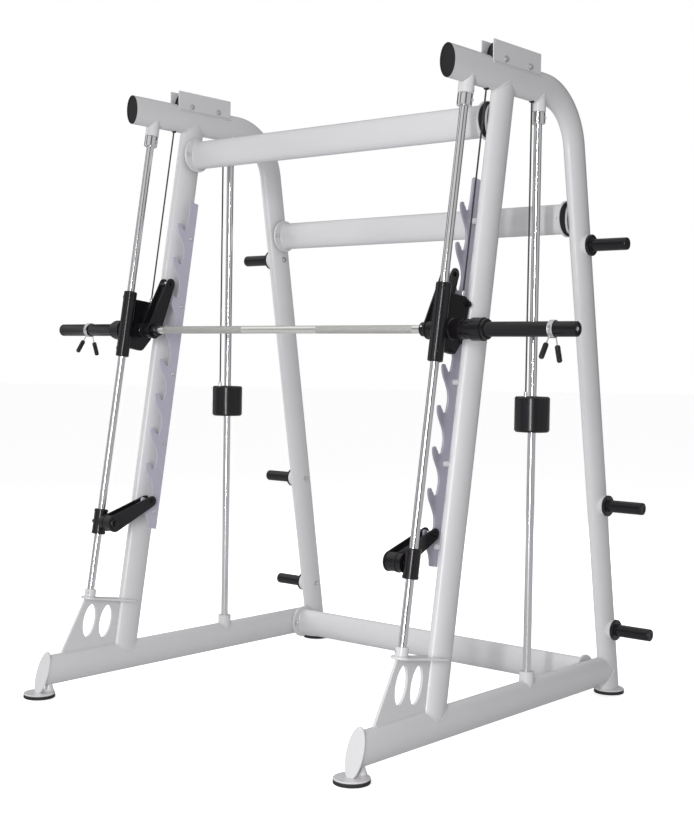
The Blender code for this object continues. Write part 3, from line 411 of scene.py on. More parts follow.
def knurled(name, colour, groups):
    """Satin steel bar with two knurled stretches; the cuts are painted darker, as painted shade in the
    grooves.
    """
    tree, shader = new_finish(name, metallic=1.0)
    cuts = place_group(
        tree, groups["knurl"], From=sizes().knurl_from, To=sizes().knurl_to, Pitch=0.0042,
        Turns=21.0,
    )
    marks = place_group(tree, groups["streak"], Stretch=(3.0, 300.0, 300.0), Low=0.20, High=0.34)
    # Painted shade: in the knurl cuts the colour drops to 0.35 of the bare steel.
    painted_cut_shade = maths(tree, "SUBTRACT", cuts.outputs["Mask"], cuts.outputs["Height"])
    painted_cut_shade = add_node(tree, "ShaderNodeMath", {0: painted_cut_shade, 1: 0.75}, operation="MULTIPLY", use_clamp=True)
    mixed = add_node(tree, "ShaderNodeMix", data_type="RGBA")
    tree.links.new(painted_cut_shade.outputs[0], mixed.inputs[0])
    mixed.inputs[6].default_value = (*colour, 1)
    mixed.inputs[7].default_value = (*(0.35 * part for part in colour), 1)
    tree.links.new(mixed.outputs[2], shader.inputs["Base Color"])
    rough = maths(tree, "MULTIPLY_ADD", cuts.outputs["Mask"], 0.18, marks.outputs["Roughness"])
    tree.links.new(rough, shader.inputs["Roughness"])
    bump(tree, shader, cuts.outputs["Height"], 0.8, 0.0006)


def roped(name, colour):
    """Coated wire rope whose strands show through as slanted ridges, with painted shade in the grooves
    and a painted highlight on the ridge tops.
    """
    tree, shader = new_finish(name, Roughness=0.4)
    place = add_node(tree, "ShaderNodeTexCoord").outputs["Object"]
    strand_relief_and_shade = add_node(
        tree, "ShaderNodeTexWave", {"Vector": place, "Scale": 110.0, "Distortion": 0.4},
        bands_direction="DIAGONAL",
    ).outputs["Fac"]
    # Painted shade and highlight: the colour runs from 0.6 of the coat's in the grooves to 1.8 on the
    # ridge tops.
    mixed = add_node(tree, "ShaderNodeMix", data_type="RGBA")
    tree.links.new(strand_relief_and_shade, mixed.inputs[0])
    mixed.inputs[6].default_value = (*(0.6 * part for part in colour), 1)
    mixed.inputs[7].default_value = (*(1.8 * part for part in colour), 1)
    tree.links.new(mixed.outputs[2], shader.inputs["Base Color"])
    bump(tree, shader, strand_relief_and_shade, 0.5, 0.0005)


# Mesh tools


def finished(bm):
    bmesh.ops.remove_doubles(bm, verts=bm.verts, dist=0.00001)
    bmesh.ops.recalc_face_normals(bm, faces=bm.faces)
    mesh = bpy.data.meshes.new("mesh")
    bm.to_mesh(mesh)
    bm.free()
    return mesh


def sweep(rings, closed_ends=False):
    """A skin over rings that each hold the same number of points."""
    bm = bmesh.new()
    loops = [[bm.verts.new(point) for point in ring] for ring in rings]
    for first, second in zip(loops, loops[1:]):
        for index in range(len(first)):
            after = (index + 1) % len(first)
            bm.faces.new((first[index], first[after], second[after], second[index]))
    if closed_ends:
        bm.faces.new(loops[0])
        bm.faces.new(loops[-1])
    return finished(bm)


def lathe(profile, sides=ROUND):
    """A turned skin from (radius, z) points. Radius 0 closes it; a repeated first point makes a ring."""
    bm = bmesh.new()
    corners = [bm.verts.new((radius, 0, z)) for radius, z in profile]
    edges = [bm.edges.new(pair) for pair in zip(corners, corners[1:])]
    bmesh.ops.spin(
        bm, geom=corners + edges, cent=(0, 0, 0), axis=(0, 0, 1), angle=2 * math.pi, steps=sides
    )
    return finished(bm)


def drum(radius, low, high, bevel=0.001, bore=0.0):
    """Turned drum or ring with bevelled rims."""
    outer = [
        (radius - bevel, high), (radius, high - bevel), (radius, low + bevel), (radius - bevel, low)
    ]
    if bore:
        inner = [(bore, low), (bore, high)]
        return lathe([inner[1]] + outer + inner)
    return lathe([(0, high)] + outer + [(0, low)])


def plate(outline, thick, windows=(), rounding=0.0008):
    """A flat piece with softly rounded rims, from outlines in X and Y."""
    curve = bpy.data.curves.new("outline", "CURVE")
    curve.dimensions = "2D"
    curve.fill_mode = "BOTH"
    curve.bevel_depth = rounding
    curve.bevel_resolution = 1
    curve.offset = -rounding
    curve.extrude = thick / 2 - rounding
    for points in (outline, *windows):
        spline = curve.splines.new("POLY")
        spline.points.add(len(points) - 1)
        for point, (x, y) in zip(spline.points, points):
            point.co = (x, y, 0, 1)
        spline.use_cyclic_u = True
    return from_curve(curve)


def wire(points, radius, closed=False, resolution=3):
    curve = bpy.data.curves.new("wire", "CURVE")
    curve.dimensions = "3D"
    curve.bevel_depth = radius
    curve.bevel_resolution = resolution
    curve.use_fill_caps = True
    spline = curve.splines.new("POLY")
    spline.points.add(len(points) - 1)
    for point, place in zip(spline.points, points):
        point.co = (*place, 1)
    spline.use_cyclic_u = closed
    return from_curve(curve)


def from_curve(curve):
    guide = bpy.data.objects.new("guide", curve)
    bpy.context.scene.collection.objects.link(guide)
    graph = bpy.context.evaluated_depsgraph_get()
    mesh = bpy.data.meshes.new_from_object(guide.evaluated_get(graph))
    bpy.data.objects.remove(guide)
    return mesh


def arc(centre, radius, start, stop, steps):
    angles = [math.radians(start + (stop - start) * i / steps) for i in range(steps + 1)]
    return [(centre[0] + radius * math.cos(a), centre[1] + radius * math.sin(a)) for a in angles]


def capsule(start_radius, length, end_radius, steps=28):
    spread = math.degrees(math.acos((start_radius - end_radius) / length))
    return arc((0, 0), start_radius, spread, 360 - spread, steps) + arc(
        (length, 0), end_radius, -spread, spread, steps
    )


def long_oval(wide, tall, steps=40):
    """A tall window that is a little fuller than an ellipse."""
    points = []
    for step in range(steps):
        angle = 2 * math.pi * step / steps
        x, y = math.cos(angle), math.sin(angle)
        points.append((math.copysign(abs(x) ** 1.12, x) * wide / 2, y * tall / 2))
    return points


def rounded_corners(outline, radius, steps=5):
    """The outline with each corner replaced by a short curve."""
    points = []
    count = len(outline)
    for index, corner in enumerate(outline):
        here = Vector(corner)
        before = Vector(outline[index - 1]) - here
        after = Vector(outline[(index + 1) % count]) - here
        reach = min(radius, before.length * 0.45, after.length * 0.45)
        start, end = here + before.normalized() * reach, here + after.normalized() * reach
        for step in range(steps + 1):
            t = step / steps
            points.append(tuple(start * (1 - t) ** 2 + here * 2 * t * (1 - t) + end * t * t))
    return points


def at(x=0.0, y=0.0, z=0.0):
    return Matrix.Translation((x, y, z))


def turn(angle, axis):
    return Matrix.Rotation(angle, 4, axis)


Z_TO_X = turn(math.pi / 2, "Y")
Z_TO_Y = turn(-math.pi / 2, "X")
FLAT_TO_SIDE = Matrix(((0, 0, 1, 0), (1, 0, 0, 0), (0, 1, 0, 0), (0, 0, 0, 1)))


def outward(side):
    """Turns +Z to face away from the middle of the machine."""
    return turn(SIDES[side] * math.pi / 2, "Y")


def piece(name, mesh, finish, body, where=None, replaces=(), bevel=0.0):
    """A finished piece that rides on a body and may stand for a node."""
    obj = bpy.data.objects.new(name, mesh)
    bpy.data.collections["smith_machine_finished"].objects.link(obj)
    obj.matrix_world = where or Matrix()
    mesh.materials.clear()
    mesh.materials.append(FINISHES[finish])
    mesh.shade_smooth()
    mesh.set_sharp_from_angle(angle=math.radians(32))
    if bevel:
        rim = obj.modifiers.new("rim", "BEVEL")
        rim.width = bevel
        rim.segments = 2
        rim.limit_method = "ANGLE"
        rim.angle_limit = math.radians(40)
        rim.use_clamp_overlap = True
    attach(obj, body)
    if replaces:
        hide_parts(*replaces)
    return obj


def hexagon_bolt(name, body, where, radius=0.009, height=0.007, finish="bolt"):
    """Washer, six-sided head and the domed end of the stud, along +Z."""
    bm = bmesh.new()
    bmesh.ops.create_cone(
        bm, cap_ends=True, segments=6, radius1=radius, radius2=radius, depth=height,
        matrix=at(z=0.0015 + height / 2),
    )
    bmesh.ops.create_cone(
        bm, cap_ends=True, segments=32, radius1=radius * 1.35, radius2=radius * 1.3, depth=0.0016,
        matrix=at(z=0.0008),
    )
    bmesh.ops.create_cone(
        bm, cap_ends=True, segments=24, radius1=radius * 0.5, radius2=radius * 0.4,
        depth=0.003, matrix=at(z=height + 0.003),
    )
    mesh = bpy.data.meshes.new("bolt")
    bm.to_mesh(mesh)
    bm.free()
    return piece(name, mesh, finish, body, where, bevel=0.0004)


def cap_screw(name, body, where, radius=0.006, height=0.004, finish="bolt"):
    """Round-headed screw with a round socket, along +Z."""
    profile = [
        (0, height * 0.45), (radius * 0.45, height * 0.45), (radius * 0.5, height * 0.95),
        (radius * 0.8, height), (radius, height * 0.7), (radius, 0), (0, 0),
    ]
    return piece(name, lathe(profile, 24), finish, body, where)


# Frame tubes


def oval_ring(half_x, half_y, sides=ROUND):
    angles = [2 * math.pi * index / sides for index in range(sides)]
    return [(half_x * math.cos(a), half_y * math.sin(a), abs(math.sin(a))) for a in angles]


def rear_axis_y(z):
    return FOOT_Y - (z - PAD_TOP - FOOT_PLATE_TOP) * math.tan(sizes().rear_lean)


def arch_mesh():
    """Top tube, bend and rear upright as one skin; the caller adds the tube's wall."""
    s = sizes()
    half_x, half_y, radius = s.tube_wide / 2, s.tube_tall / 2, s.bend_radius
    turning = math.pi / 2 - s.rear_lean
    bend_y = rear_axis_y(TOP_Z) - radius * math.tan(turning / 2)
    steps = 28
    path = [(TOP_FRONT_Y, TOP_Z, 0.0)]
    for step in range(steps + 1):
        angle = turning * step / steps
        path.append(
            (bend_y + radius * math.sin(angle), TOP_Z - radius + radius * math.cos(angle), angle)
        )
    path.append((rear_axis_y(PAD_TOP + 0.004), PAD_TOP + 0.004, turning))
    rings = []
    for y, z, angle in path:
        up_y, up_z = math.sin(angle), math.cos(angle)
        rings.append(
            [(px, y + py * up_y, z + py * up_z) for px, py, _ in oval_ring(half_x, half_y)]
        )
    # The foot end is cut level with the floor.
    down = math.tan(s.rear_lean)
    rings[-1] = [
        (px, y - (PAD_TOP + 0.004 - z) * -down, PAD_TOP + 0.004) for px, y, z in rings[-1]
    ]
    return sweep(rings)


def weld_bead(name, points, side):
    piece(f"{name}_{side}", wire(points, sizes().weld, closed=True), "frame_paint", "frame")


def build_side_frame(side):
    s, sign = sizes(), SIDES[side]
    x = sign * HALF_SPAN
    half_x, half_y = s.tube_wide / 2, s.tube_tall / 2
    arch = piece(
        f"arch_{side}", arch_mesh(), "frame_paint", "frame", at(x), (f"rear_arch_{side}",)
    )
    wall = arch.modifiers.new("wall", "SOLIDIFY")
    wall.thickness = s.tube_wall
    wall.offset = -1
    front, rear = FRONT_PULLEY.y - 0.064, REAR_PULLEY.y + 0.064
    slot_mesh = bpy.data.meshes.new("slot")
    bm = bmesh.new()
    bmesh.ops.create_cube(bm, size=1, matrix=at(x, (front + rear) / 2, TOP_Z + half_y)
                          @ Matrix.Diagonal((0.041, rear - front, half_y * 1.2, 1)))
    bm.to_mesh(slot_mesh)
    bm.free()
    slot = bpy.data.objects.new(f"slot_tool_{side}", slot_mesh)
    opening = arch.modifiers.new("pulley slot", "BOOLEAN")
    opening.operation = "DIFFERENCE"
    opening.object = slot
    bpy.data.collections["smith_machine_tools"].objects.link(slot)
    slot.hide_render = True
    slot.hide_viewport = True
    apply_modifiers(arch)
    bpy.data.objects.remove(slot)

    # Base rail: slanted front end, coped rear end
    ring = oval_ring(half_x, half_y)
    slope = math.tan(RAIL_END_SLOPE)
    plate_y, plate_z = -FOOT_Y + 0.014, RAIL_Z - 0.007
    front_ring = [
        (x + px, plate_y + (RAIL_Z + py - plate_z) * slope, RAIL_Z + py) for px, py, _ in ring
    ]
    rear_ring = [
        (x + px, rear_axis_y(RAIL_Z + py) - half_y * rise / math.cos(s.rear_lean), RAIL_Z + py)
        for px, py, rise in ring
    ]
    piece(
        f"rail_{side}", sweep([front_ring, rear_ring]), "frame_paint", "frame",
        replaces=(f"base_rail_{side}",),
    )
    weld_bead("rail_weld", rear_ring, side)
    end_frame = at(x, plate_y, plate_z) @ turn(-RAIL_END_SLOPE, "X") @ Z_TO_Y
    end_oval = [(px * 1.1, py * 1.43) for px, py, _ in oval_ring(half_x, half_y)]
    low_limit = -(plate_z - PAD_TOP - GAP) / math.cos(RAIL_END_SLOPE)
    end_oval = [(px, min(py, -low_limit)) for px, py in end_oval]
    piece(f"rail_end_{side}", plate(end_oval, 0.006), "frame_paint", "frame", end_frame)
    # Front upright, coped to both tubes
    there = lean(side)
    rows = []
    narrow = 0.945
    for world_z, way in ((RAIL_Z, 1), (TOP_Z, -1)):
        row = []
        for px, py, _ in ring:
            y, px = s.upright_offset + py, px * narrow
            rise = math.sqrt(1 - (px / half_x) ** 2)
            row.append(there @ Vector((px, y, lean_height(world_z + way * half_y * rise, y))))
        rows.append(row)
    piece(
        f"upright_{side}", sweep(rows), "frame_paint", "frame", replaces=(f"front_upright_{side}",)
    )
    weld_bead("upright_foot_weld", rows[0], side)
    weld_bead("upright_head_weld", rows[1], side)
    build_stubs(side)
    build_feet(side)
    build_shelf(side)
    build_end_cap(side)


def apply_modifiers(obj):
    """Keeps the evaluated shape as the object's own mesh."""
    bpy.context.view_layer.update()
    graph = bpy.context.evaluated_depsgraph_get()
    mesh = bpy.data.meshes.new_from_object(obj.evaluated_get(graph))
    obj.modifiers.clear()
    obj.data = mesh
    mesh.shade_smooth()
    mesh.set_sharp_from_angle(angle=math.radians(32))


def build_stubs(side):
    """Painted sockets that hold the two rods at the top and the weight rod at the foot."""
    s, sign = sizes(), SIDES[side]
    x = sign * HALF_SPAN
    outer = s.rod_radius + SOCKET_WALL
    guide_low = lean_height(TOP_Z - s.tube_tall / 2 - 0.036)
    guide_high = lean_height(TOP_Z - 0.03)
    weight_low = TOP_Z - s.tube_tall / 2 - 0.030
    bore = s.rod_radius + BORE_ROOM
    piece(
        f"guide_stub_{side}", drum(outer, guide_low, guide_high, 0.0015, bore), "frame_paint",
        "frame", lean(side),
    )
    weight = at(x, WEIGHT_ROD_Y, 0)
    piece(
        f"weight_stub_{side}", drum(outer, weight_low, TOP_Z - 0.03, 0.0015, bore),
        "frame_paint", "frame", weight,
    )
    foot_top = RAIL_Z + s.tube_tall / 2
    piece(
        f"weight_socket_{side}", drum(outer, foot_top - 0.02, foot_top + SOCKET_TALL, 0.0015, bore),
        "frame_paint", "frame", weight,
    )
    for name, tube_z, way in (("socket_weld", RAIL_Z, 1), ("stub_weld", TOP_Z, -1)):
        curve = []
        for a in (2 * math.pi * i / 48 for i in range(48)):
            across = outer * math.cos(a)
            rise = s.tube_tall / 2 * math.sqrt(1 - (across / (s.tube_wide / 2)) ** 2)
            curve.append((x + across, WEIGHT_ROD_Y + outer * math.sin(a), tube_z + way * rise))
        weld_bead(name, curve, side)
    set_screw = at(y=outer - 0.001, z=0)
    for name, place in (
        ("weight_socket_screw", weight @ at(z=foot_top + 0.014)),
        ("guide_stub_screw", lean(side) @ at(z=guide_low + 0.016)),
    ):
        around = turn(math.radians(-35) * sign, "Z")
        cap_screw(f"{name}_{side}", "frame", place @ around @ set_screw @ Z_TO_Y, 0.0045, 0.003)


def build_feet(side):
    """Rubber pad and painted plate at both ends of a side frame, and an adjusting stud at the front."""
    s, sign = sizes(), SIDES[side]
    x = sign * HALF_SPAN
    for end, y in (("front", -FOOT_Y), ("rear", FOOT_Y)):
        radius = (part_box(f"{end}_foot_pad_{side}")[1].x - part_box(f"{end}_foot_pad_{side}")[0].x) / 2
        pad = [
            (0, PAD_TOP), (radius - 0.002, PAD_TOP), (radius, PAD_TOP - 0.002),
            (radius, 0.0065), (radius - 0.0015, 0.0055), (radius, 0.0045), (radius, 0.002),
            (radius - 0.002, 0), (0, 0),
        ]
        piece(
            f"{end}_pad_{side}", lathe(pad), "rubber", "frame", at(x, y, 0),
            (f"{end}_foot_pad_{side}",),
        )
        piece(
            f"{end}_foot_plate_{side}", drum(radius, PAD_TOP + GAP, PAD_TOP + FOOT_PLATE_TOP, 0.0015),
            "frame_paint", "frame", at(x, y, 0),
        )
    post_y = -FOOT_Y + 0.0435
    stud_top = RAIL_Z - s.tube_tall / 2 + 0.012
    stud = [
        (0, PAD_TOP + 0.005), (0.019, PAD_TOP + 0.005), (0.0165, PAD_TOP + 0.010),
        (0.0115, stud_top - 0.010), (0.0105, stud_top), (0, stud_top),
    ]
    piece(f"front_foot_stud_{side}", lathe(stud), "frame_paint", "frame", at(x, post_y, 0))


def build_shelf(side):
    """Gusset with two tall oval windows, the shelf on it and the guide rod's socket."""
    s, sign = sizes(), SIDES[side]
    there = lean(side)
    shelf_top = shelf_height()
    nose, ears = s.rod_radius + SOCKET_WALL, s.tube_wide / 2 + 0.012
    upright = s.upright_offset
    half_x, half_y = s.tube_wide / 2, s.tube_tall / 2
    notch = [
        (half_x * 1.01 * math.cos(a), upright + half_y * 1.006 * math.sin(a))
        for a in (-math.pi * i / 24 for i in range(25))
    ]
    neck = upright - half_y - 0.03
    outline = (
        arc((0, 0), nose + 0.006, 180, 360, 20)
        + [(nose + 0.006, neck), (ears, neck + 0.02), (ears, upright - 0.006)]
        + [(ears - 0.006, upright)] + notch + [(-ears + 0.006, upright)]
        + [(-ears, upright - 0.006), (-ears, neck + 0.02), (-nose - 0.006, neck)]
    )
    piece(
        f"shelf_{side}", plate(outline, 0.008), "frame_paint", "frame",
        there @ at(z=shelf_top - 0.004), (f"rod_shelf_{side}",),
    )
    socket_outer = s.rod_radius + 0.007
    piece(
        f"guide_socket_{side}",
        drum(socket_outer, shelf_top, shelf_top + SOCKET_TALL, 0.001, s.rod_radius + BORE_ROOM),
        "frame_paint", "frame", there,
    )
    ring = [
        there @ Vector((socket_outer * math.cos(a), socket_outer * math.sin(a), shelf_top + 0.001))
        for a in (2 * math.pi * i / 40 for i in range(40))
    ]
    weld_bead("guide_socket_weld", ring, side)
    screw = there @ turn(math.radians(150) * sign, "Z")
    screw = screw @ at(y=socket_outer - 0.001, z=shelf_top + 0.016) @ Z_TO_Y
    cap_screw(f"guide_socket_screw_{side}", "frame", screw, 0.0045, 0.003)

    def world(y, z):
        return (ROD_FLOOR_Y + y * math.cos(ROD_LEAN) + z * math.sin(ROD_LEAN),
                z * math.cos(ROD_LEAN) - y * math.sin(ROD_LEAN))

    front_y, front_z = world(-nose + 0.004, shelf_top - 0.008)
    rear_y, rear_z = world(upright - half_y - 0.001, shelf_top - 0.008)
    low_z = RAIL_Z + half_y - 0.002
    low_rear = world(upright - half_y - 0.001, lean_height(low_z, upright - half_y))
    outline = [
        (front_y - 0.106, low_z), low_rear, (rear_y, rear_z), (front_y, front_z),
        (front_y - 0.106, low_z + 0.006),
    ]
    windows = []
    tilt = ROD_LEAN + math.radians(5)
    for y in (0.011, 0.090):
        centre = Vector(world(y, shelf_top - 0.088))
        along, up = Vector((math.cos(tilt), -math.sin(tilt))), Vector((math.sin(tilt), math.cos(tilt)))
        windows.append([tuple(centre + along * px + up * pz) for px, pz in long_oval(0.058, 0.126)])
    piece(
        f"gusset_{side}", plate(outline, 0.010, windows), "frame_paint", "frame",
        at(sign * HALF_SPAN) @ FLAT_TO_SIDE,
    )
    for offset in (-0.006, 0.006):
        start_y = front_y - 0.100
        seam = [
            (sign * HALF_SPAN + offset, start_y + (low_rear[0] - start_y) * i / 12, low_z + 0.0015)
            for i in range(13)
        ]
        piece(
            f"gusset_weld_{'in' if offset < 0 else 'out'}_{side}", wire(seam, 0.0024),
            "frame_paint", "frame",
        )


def shelf_height():
    """Top of the shelf along the rod: the guide rod stands just above it."""
    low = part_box("guide_rod_right")[0].z
    return lean_height(low + sizes().rod_radius * math.sin(ROD_LEAN)) - GAP


def build_end_cap(side):
    """Dished black plug in the front end of the top tube."""
    s = sizes()
    half_x, half_y = s.tube_wide / 2, s.tube_tall / 2
    rows = []
    for inset, depth in (
        (0.0005, 0.0), (0.0, -0.0012), (0.0006, -0.0022), (0.0022, -0.0026), (0.0034, -0.0016),
        (0.0040, 0.002), (0.0060, 0.008), (0.0095, 0.0125), (0.0145, 0.0155), (0.0205, 0.0170),
        (0.0262, 0.0174),
    ):
        rows.append([(px, py, depth) for px, py, _ in oval_ring(half_x - inset, half_y - inset)])
    piece(
        f"end_cap_{side}", sweep(rows, closed_ends=True), "plastic", "frame",
        at(SIDES[side] * HALF_SPAN, TOP_FRONT_Y - GAP, TOP_Z) @ Z_TO_Y, (f"top_end_cap_{side}",),
    )


def build_crossbars():
    """Oval tubes whose round flanges are bolted through the side frames at the front and rear."""
    s = sizes()
    half_y, half_z, thick = s.tube_wide / 2, s.tube_tall / 2, 0.010
    for name in ("upper_front_crossbar", "upper_rear_crossbar", "lower_rear_crossbar"):
        low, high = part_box(name)
        centre, radius, end = (low + high) / 2, (high.z - low.z) / 2, high.x
        cushion = 0.0 if name == "lower_rear_crossbar" else 0.013
        face = end - cushion
        ring = oval_ring(half_y, half_z)
        rows = [[(x, centre.y + py, centre.z + pz) for py, pz, _ in ring] for x in (-end, end)]
        piece(f"{name}_tube", sweep(rows), "frame_paint", "frame", replaces=(name,))
        for side, sign in SIDES.items():
            way = at(0, centre.y, centre.z) @ outward(side)
            flange = drum(radius, face - thick, face, 0.0018)
            piece(f"{name}_flange_{side}", flange, "frame_paint", "frame", way)
            seam_x = sign * (face - thick - 0.0005)
            seam = [(seam_x, centre.y + py, centre.z + pz) for py, pz, _ in ring]
            weld_bead(f"{name}_weld", seam, side)
            if cushion:
                # Black rubber gasket and saddle behind each upper flange; their black also fills the
                # wedge gap between flange and upright as painted shade.
                shade_gasket = drum(radius - 0.003, face, face + 0.004, 0.001)
                piece(f"{name}_gasket_{side}", shade_gasket, "rubber", "frame", way)
                shade_saddle = [(py, pz * 0.98) for py, pz, _ in ring]
                block = at(sign * (face + 0.011), centre.y, centre.z) @ FLAT_TO_SIDE
                piece(f"{name}_saddle_{side}", plate(shade_saddle, 0.016), "rubber", "frame", block)
            for end_name, shift in (("front", -1), ("rear", 1)):
                spot = at(sign * (face - thick), centre.y + shift * (radius - 0.014), centre.z)
                inward = spot @ turn(-sign * math.pi / 2, "Y")
                hexagon_bolt(f"{name}_{end_name}_bolt_{side}", "frame", inward, 0.0075, 0.005)


# Rods, racks and stops


def build_rods(side):
    s, sign = sizes(), SIDES[side]
    guide_low = shelf_height() + GAP
    guide_high = lean_height(TOP_Z - s.tube_tall / 2 - 0.036) + 0.02
    collar = s.rod_radius + 0.011
    piece(
        f"guide_{side}", drum(s.rod_radius, guide_low, guide_high), "chrome", "frame", lean(side),
        (f"guide_rod_{side}",),
    )
    low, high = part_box(f"weight_rod_{side}")
    weight = at(sign * HALF_SPAN, WEIGHT_ROD_Y, 0)
    piece(
        f"weight_guide_{side}", drum(s.rod_radius, low.z, high.z), "chrome", "frame", weight,
        (f"weight_rod_{side}",),
    )
    collar_top = guide_high - 0.02 - GAP
    low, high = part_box(f"weight_rod_collar_{side}")
    bore = s.rod_radius + BORE_ROOM
    for name, frame_of, top in (
        ("guide_rod_collar", lean(side), collar_top), ("weight_rod_collar", weight, high.z)
    ):
        piece(
            f"{name}_ring_{side}", drum(collar, top - 0.040, top, 0.0018, bore), "chrome", "frame",
            frame_of, (f"{name}_{side}",),
        )
        screw = frame_of @ turn(math.radians(-70), "Z") @ at(y=collar - 0.001, z=top - 0.02)
        cap_screw(f"{name}_screw_{side}", "frame", screw @ Z_TO_Y, 0.005, 0.004)


def rack_outline():
    """Rack edge with its prongs and round notches, in the leaning frame."""
    s = sizes()
    rear, front, prong_front, prong_rear = 0.2245, 0.184, 0.132, 0.148
    notch_radius, notch_drop, prongs = 0.0115, 0.0112, 9
    top = lean_height(TOP_Z - 0.3054)
    tips = [top - 0.096 - s.hook_pitch * number for number in range(prongs)]
    bottom = tips[-1] - 0.116
    outline = [(rear, bottom), (rear, top), (front + 0.006, top), (front, top - 0.006)]
    crown = (prong_rear - prong_front) / 2
    for tip in tips:
        outline += [(front, tip + 0.022), (front - 0.0008, tip + 0.006)]
        outline += arc((NOTCH_Y, tip - notch_drop), notch_radius, 0, -165, 18)
        outline += arc((prong_front + crown, tip - crown), crown, 10, 180, 14)
        outline += [
            (prong_front + 0.0012, tip - 0.016), (prong_front + 0.004, tip - 0.025),
            (prong_front + 0.0085, tip - 0.034), (prong_front + 0.014, tip - 0.0425),
            (prong_front + 0.020, tip - 0.050), (prong_front + 0.0265, tip - 0.058),
            (prong_front + 0.033, tip - 0.066), (prong_front + 0.039, tip - 0.0745),
            (prong_front + 0.0445, tip - 0.084), (prong_front + 0.049, tip - 0.096),
            (front - 0.0005, tip - 0.108),
        ]
    outline += [(front, bottom + 0.005), (front + 0.004, bottom)]
    return outline, tips


def build_rack(side):
    s, sign = sizes(), SIDES[side]
    outline, tips = rack_outline()
    rack_x = -sign * s.rack_offset
    piece(
        f"rack_{side}", plate(outline, 0.008, rounding=0.0006), "rack_paint", "frame",
        lean(side) @ at(rack_x) @ FLAT_TO_SIDE, (f"hook_rack_{side}",),
    )
    reach = s.rack_offset - s.tube_wide / 2 + 0.002
    for number, tip in enumerate(tips[::2]):
        spot = lean(side) @ at(rack_x, s.upright_offset, tip - 0.050)
        piece(
            f"standoff_{number}_{side}", drum(0.011, 0, reach), "frame_paint", "frame",
            spot @ outward(side),
        )
        inner = spot @ at(-sign * 0.004) @ turn(-sign * math.pi / 2, "Y")
        cap_screw(f"rack_screw_{number}_{side}", "frame", inner, 0.008, 0.005)


def hook_pieces(name, body, side, where, length, hub_start, bore, replaced):
    """Two cheeks, the hub drum and the cross pin with its nuts. The arm points along local Y."""
    s, sign = sizes(), SIDES[side]
    outline = capsule(0.033, length, 0.020)
    for cheek, offset in (("inner", 0.020), ("outer", -0.020)):
        place = where @ at(-sign * (s.rack_offset + offset)) @ FLAT_TO_SIDE
        stands_for = (replaced,) if cheek == "inner" else ()
        piece(
            f"{name}_{cheek}_cheek_{side}", plate(outline, 0.006), "black_paint", body, place,
            stands_for,
        )
    inward = where @ turn(-sign * math.pi / 2, "Y")
    cheek_end = s.rack_offset + 0.023
    piece(
        f"{name}_drum_{side}", drum(0.031, hub_start, cheek_end - 0.006, 0.0015, bore),
        "black_paint", body, inward,
    )
    piece(
        f"{name}_hub_ring_{side}", drum(0.022, cheek_end, cheek_end + 0.0035, 0.001, bore),
        "black_paint", body, inward,
    )
    pin = where @ at(y=length) @ turn(-sign * math.pi / 2, "Y")
    piece(
        f"{name}_pin_{side}", drum(0.010, s.rack_offset - 0.018, s.rack_offset + 0.018),
        "bolt", body, pin,
    )
    hexagon_bolt(f"{name}_pin_head_{side}", body, pin @ at(z=cheek_end), 0.0085, 0.005, "dark_bolt")
    outer_face = pin @ at(z=s.rack_offset - 0.023) @ turn(math.pi, "X")
    hexagon_bolt(f"{name}_pin_nut_{side}", body, outer_face, 0.0085, 0.005, "dark_bolt")
    return cheek_end


def build_stop(side):
    s, sign = sizes(), SIDES[side]
    there = lean(side) @ at(z=STOP_LOCAL.z)
    bore = s.rod_radius + BORE_ROOM
    low, high = -0.048, 0.048
    piece(
        f"stop_block_{side}", drum(HOUSING_RADIUS, low, high, 0.002, bore), "black_paint", "frame",
        there,
        (f"safety_stop_{side}",),
    )
    for name, z in (("lower", low + 0.007), ("upper", high - 0.007)):
        piece(
            f"stop_{name}_band_{side}", drum(0.0262, z - 0.004, z + 0.004, 0.001, 0.024),
            "black_paint", "frame", there,
        )
    inward = there @ turn(-sign * math.pi / 2, "Y")
    end = s.rack_offset + 0.025
    piece(f"stop_pivot_{side}", drum(0.009, 0.022, end), "bolt", "frame", inward)
    hexagon_bolt(
        f"stop_pivot_nut_{side}", "frame", inward @ at(z=end - 0.001), 0.012, 0.007, "dark_bolt"
    )
    screw = there @ turn(math.radians(60) * sign, "Z") @ at(y=-0.025) @ turn(math.pi / 2, "X")
    cap_screw(f"stop_clamp_screw_{side}", "frame", screw, 0.006, 0.005, "dark_bolt")
    angle = math.acos(NOTCH_Y / STOP_ARM)
    hook_pieces(
        "stop_arm", f"stop_hook_{side}", side, there @ turn(angle, "X"), STOP_ARM, 0.0253, 0.0093,
        f"stop_hook_{side}",
    )


# Bar, carriages, sleeves and clips


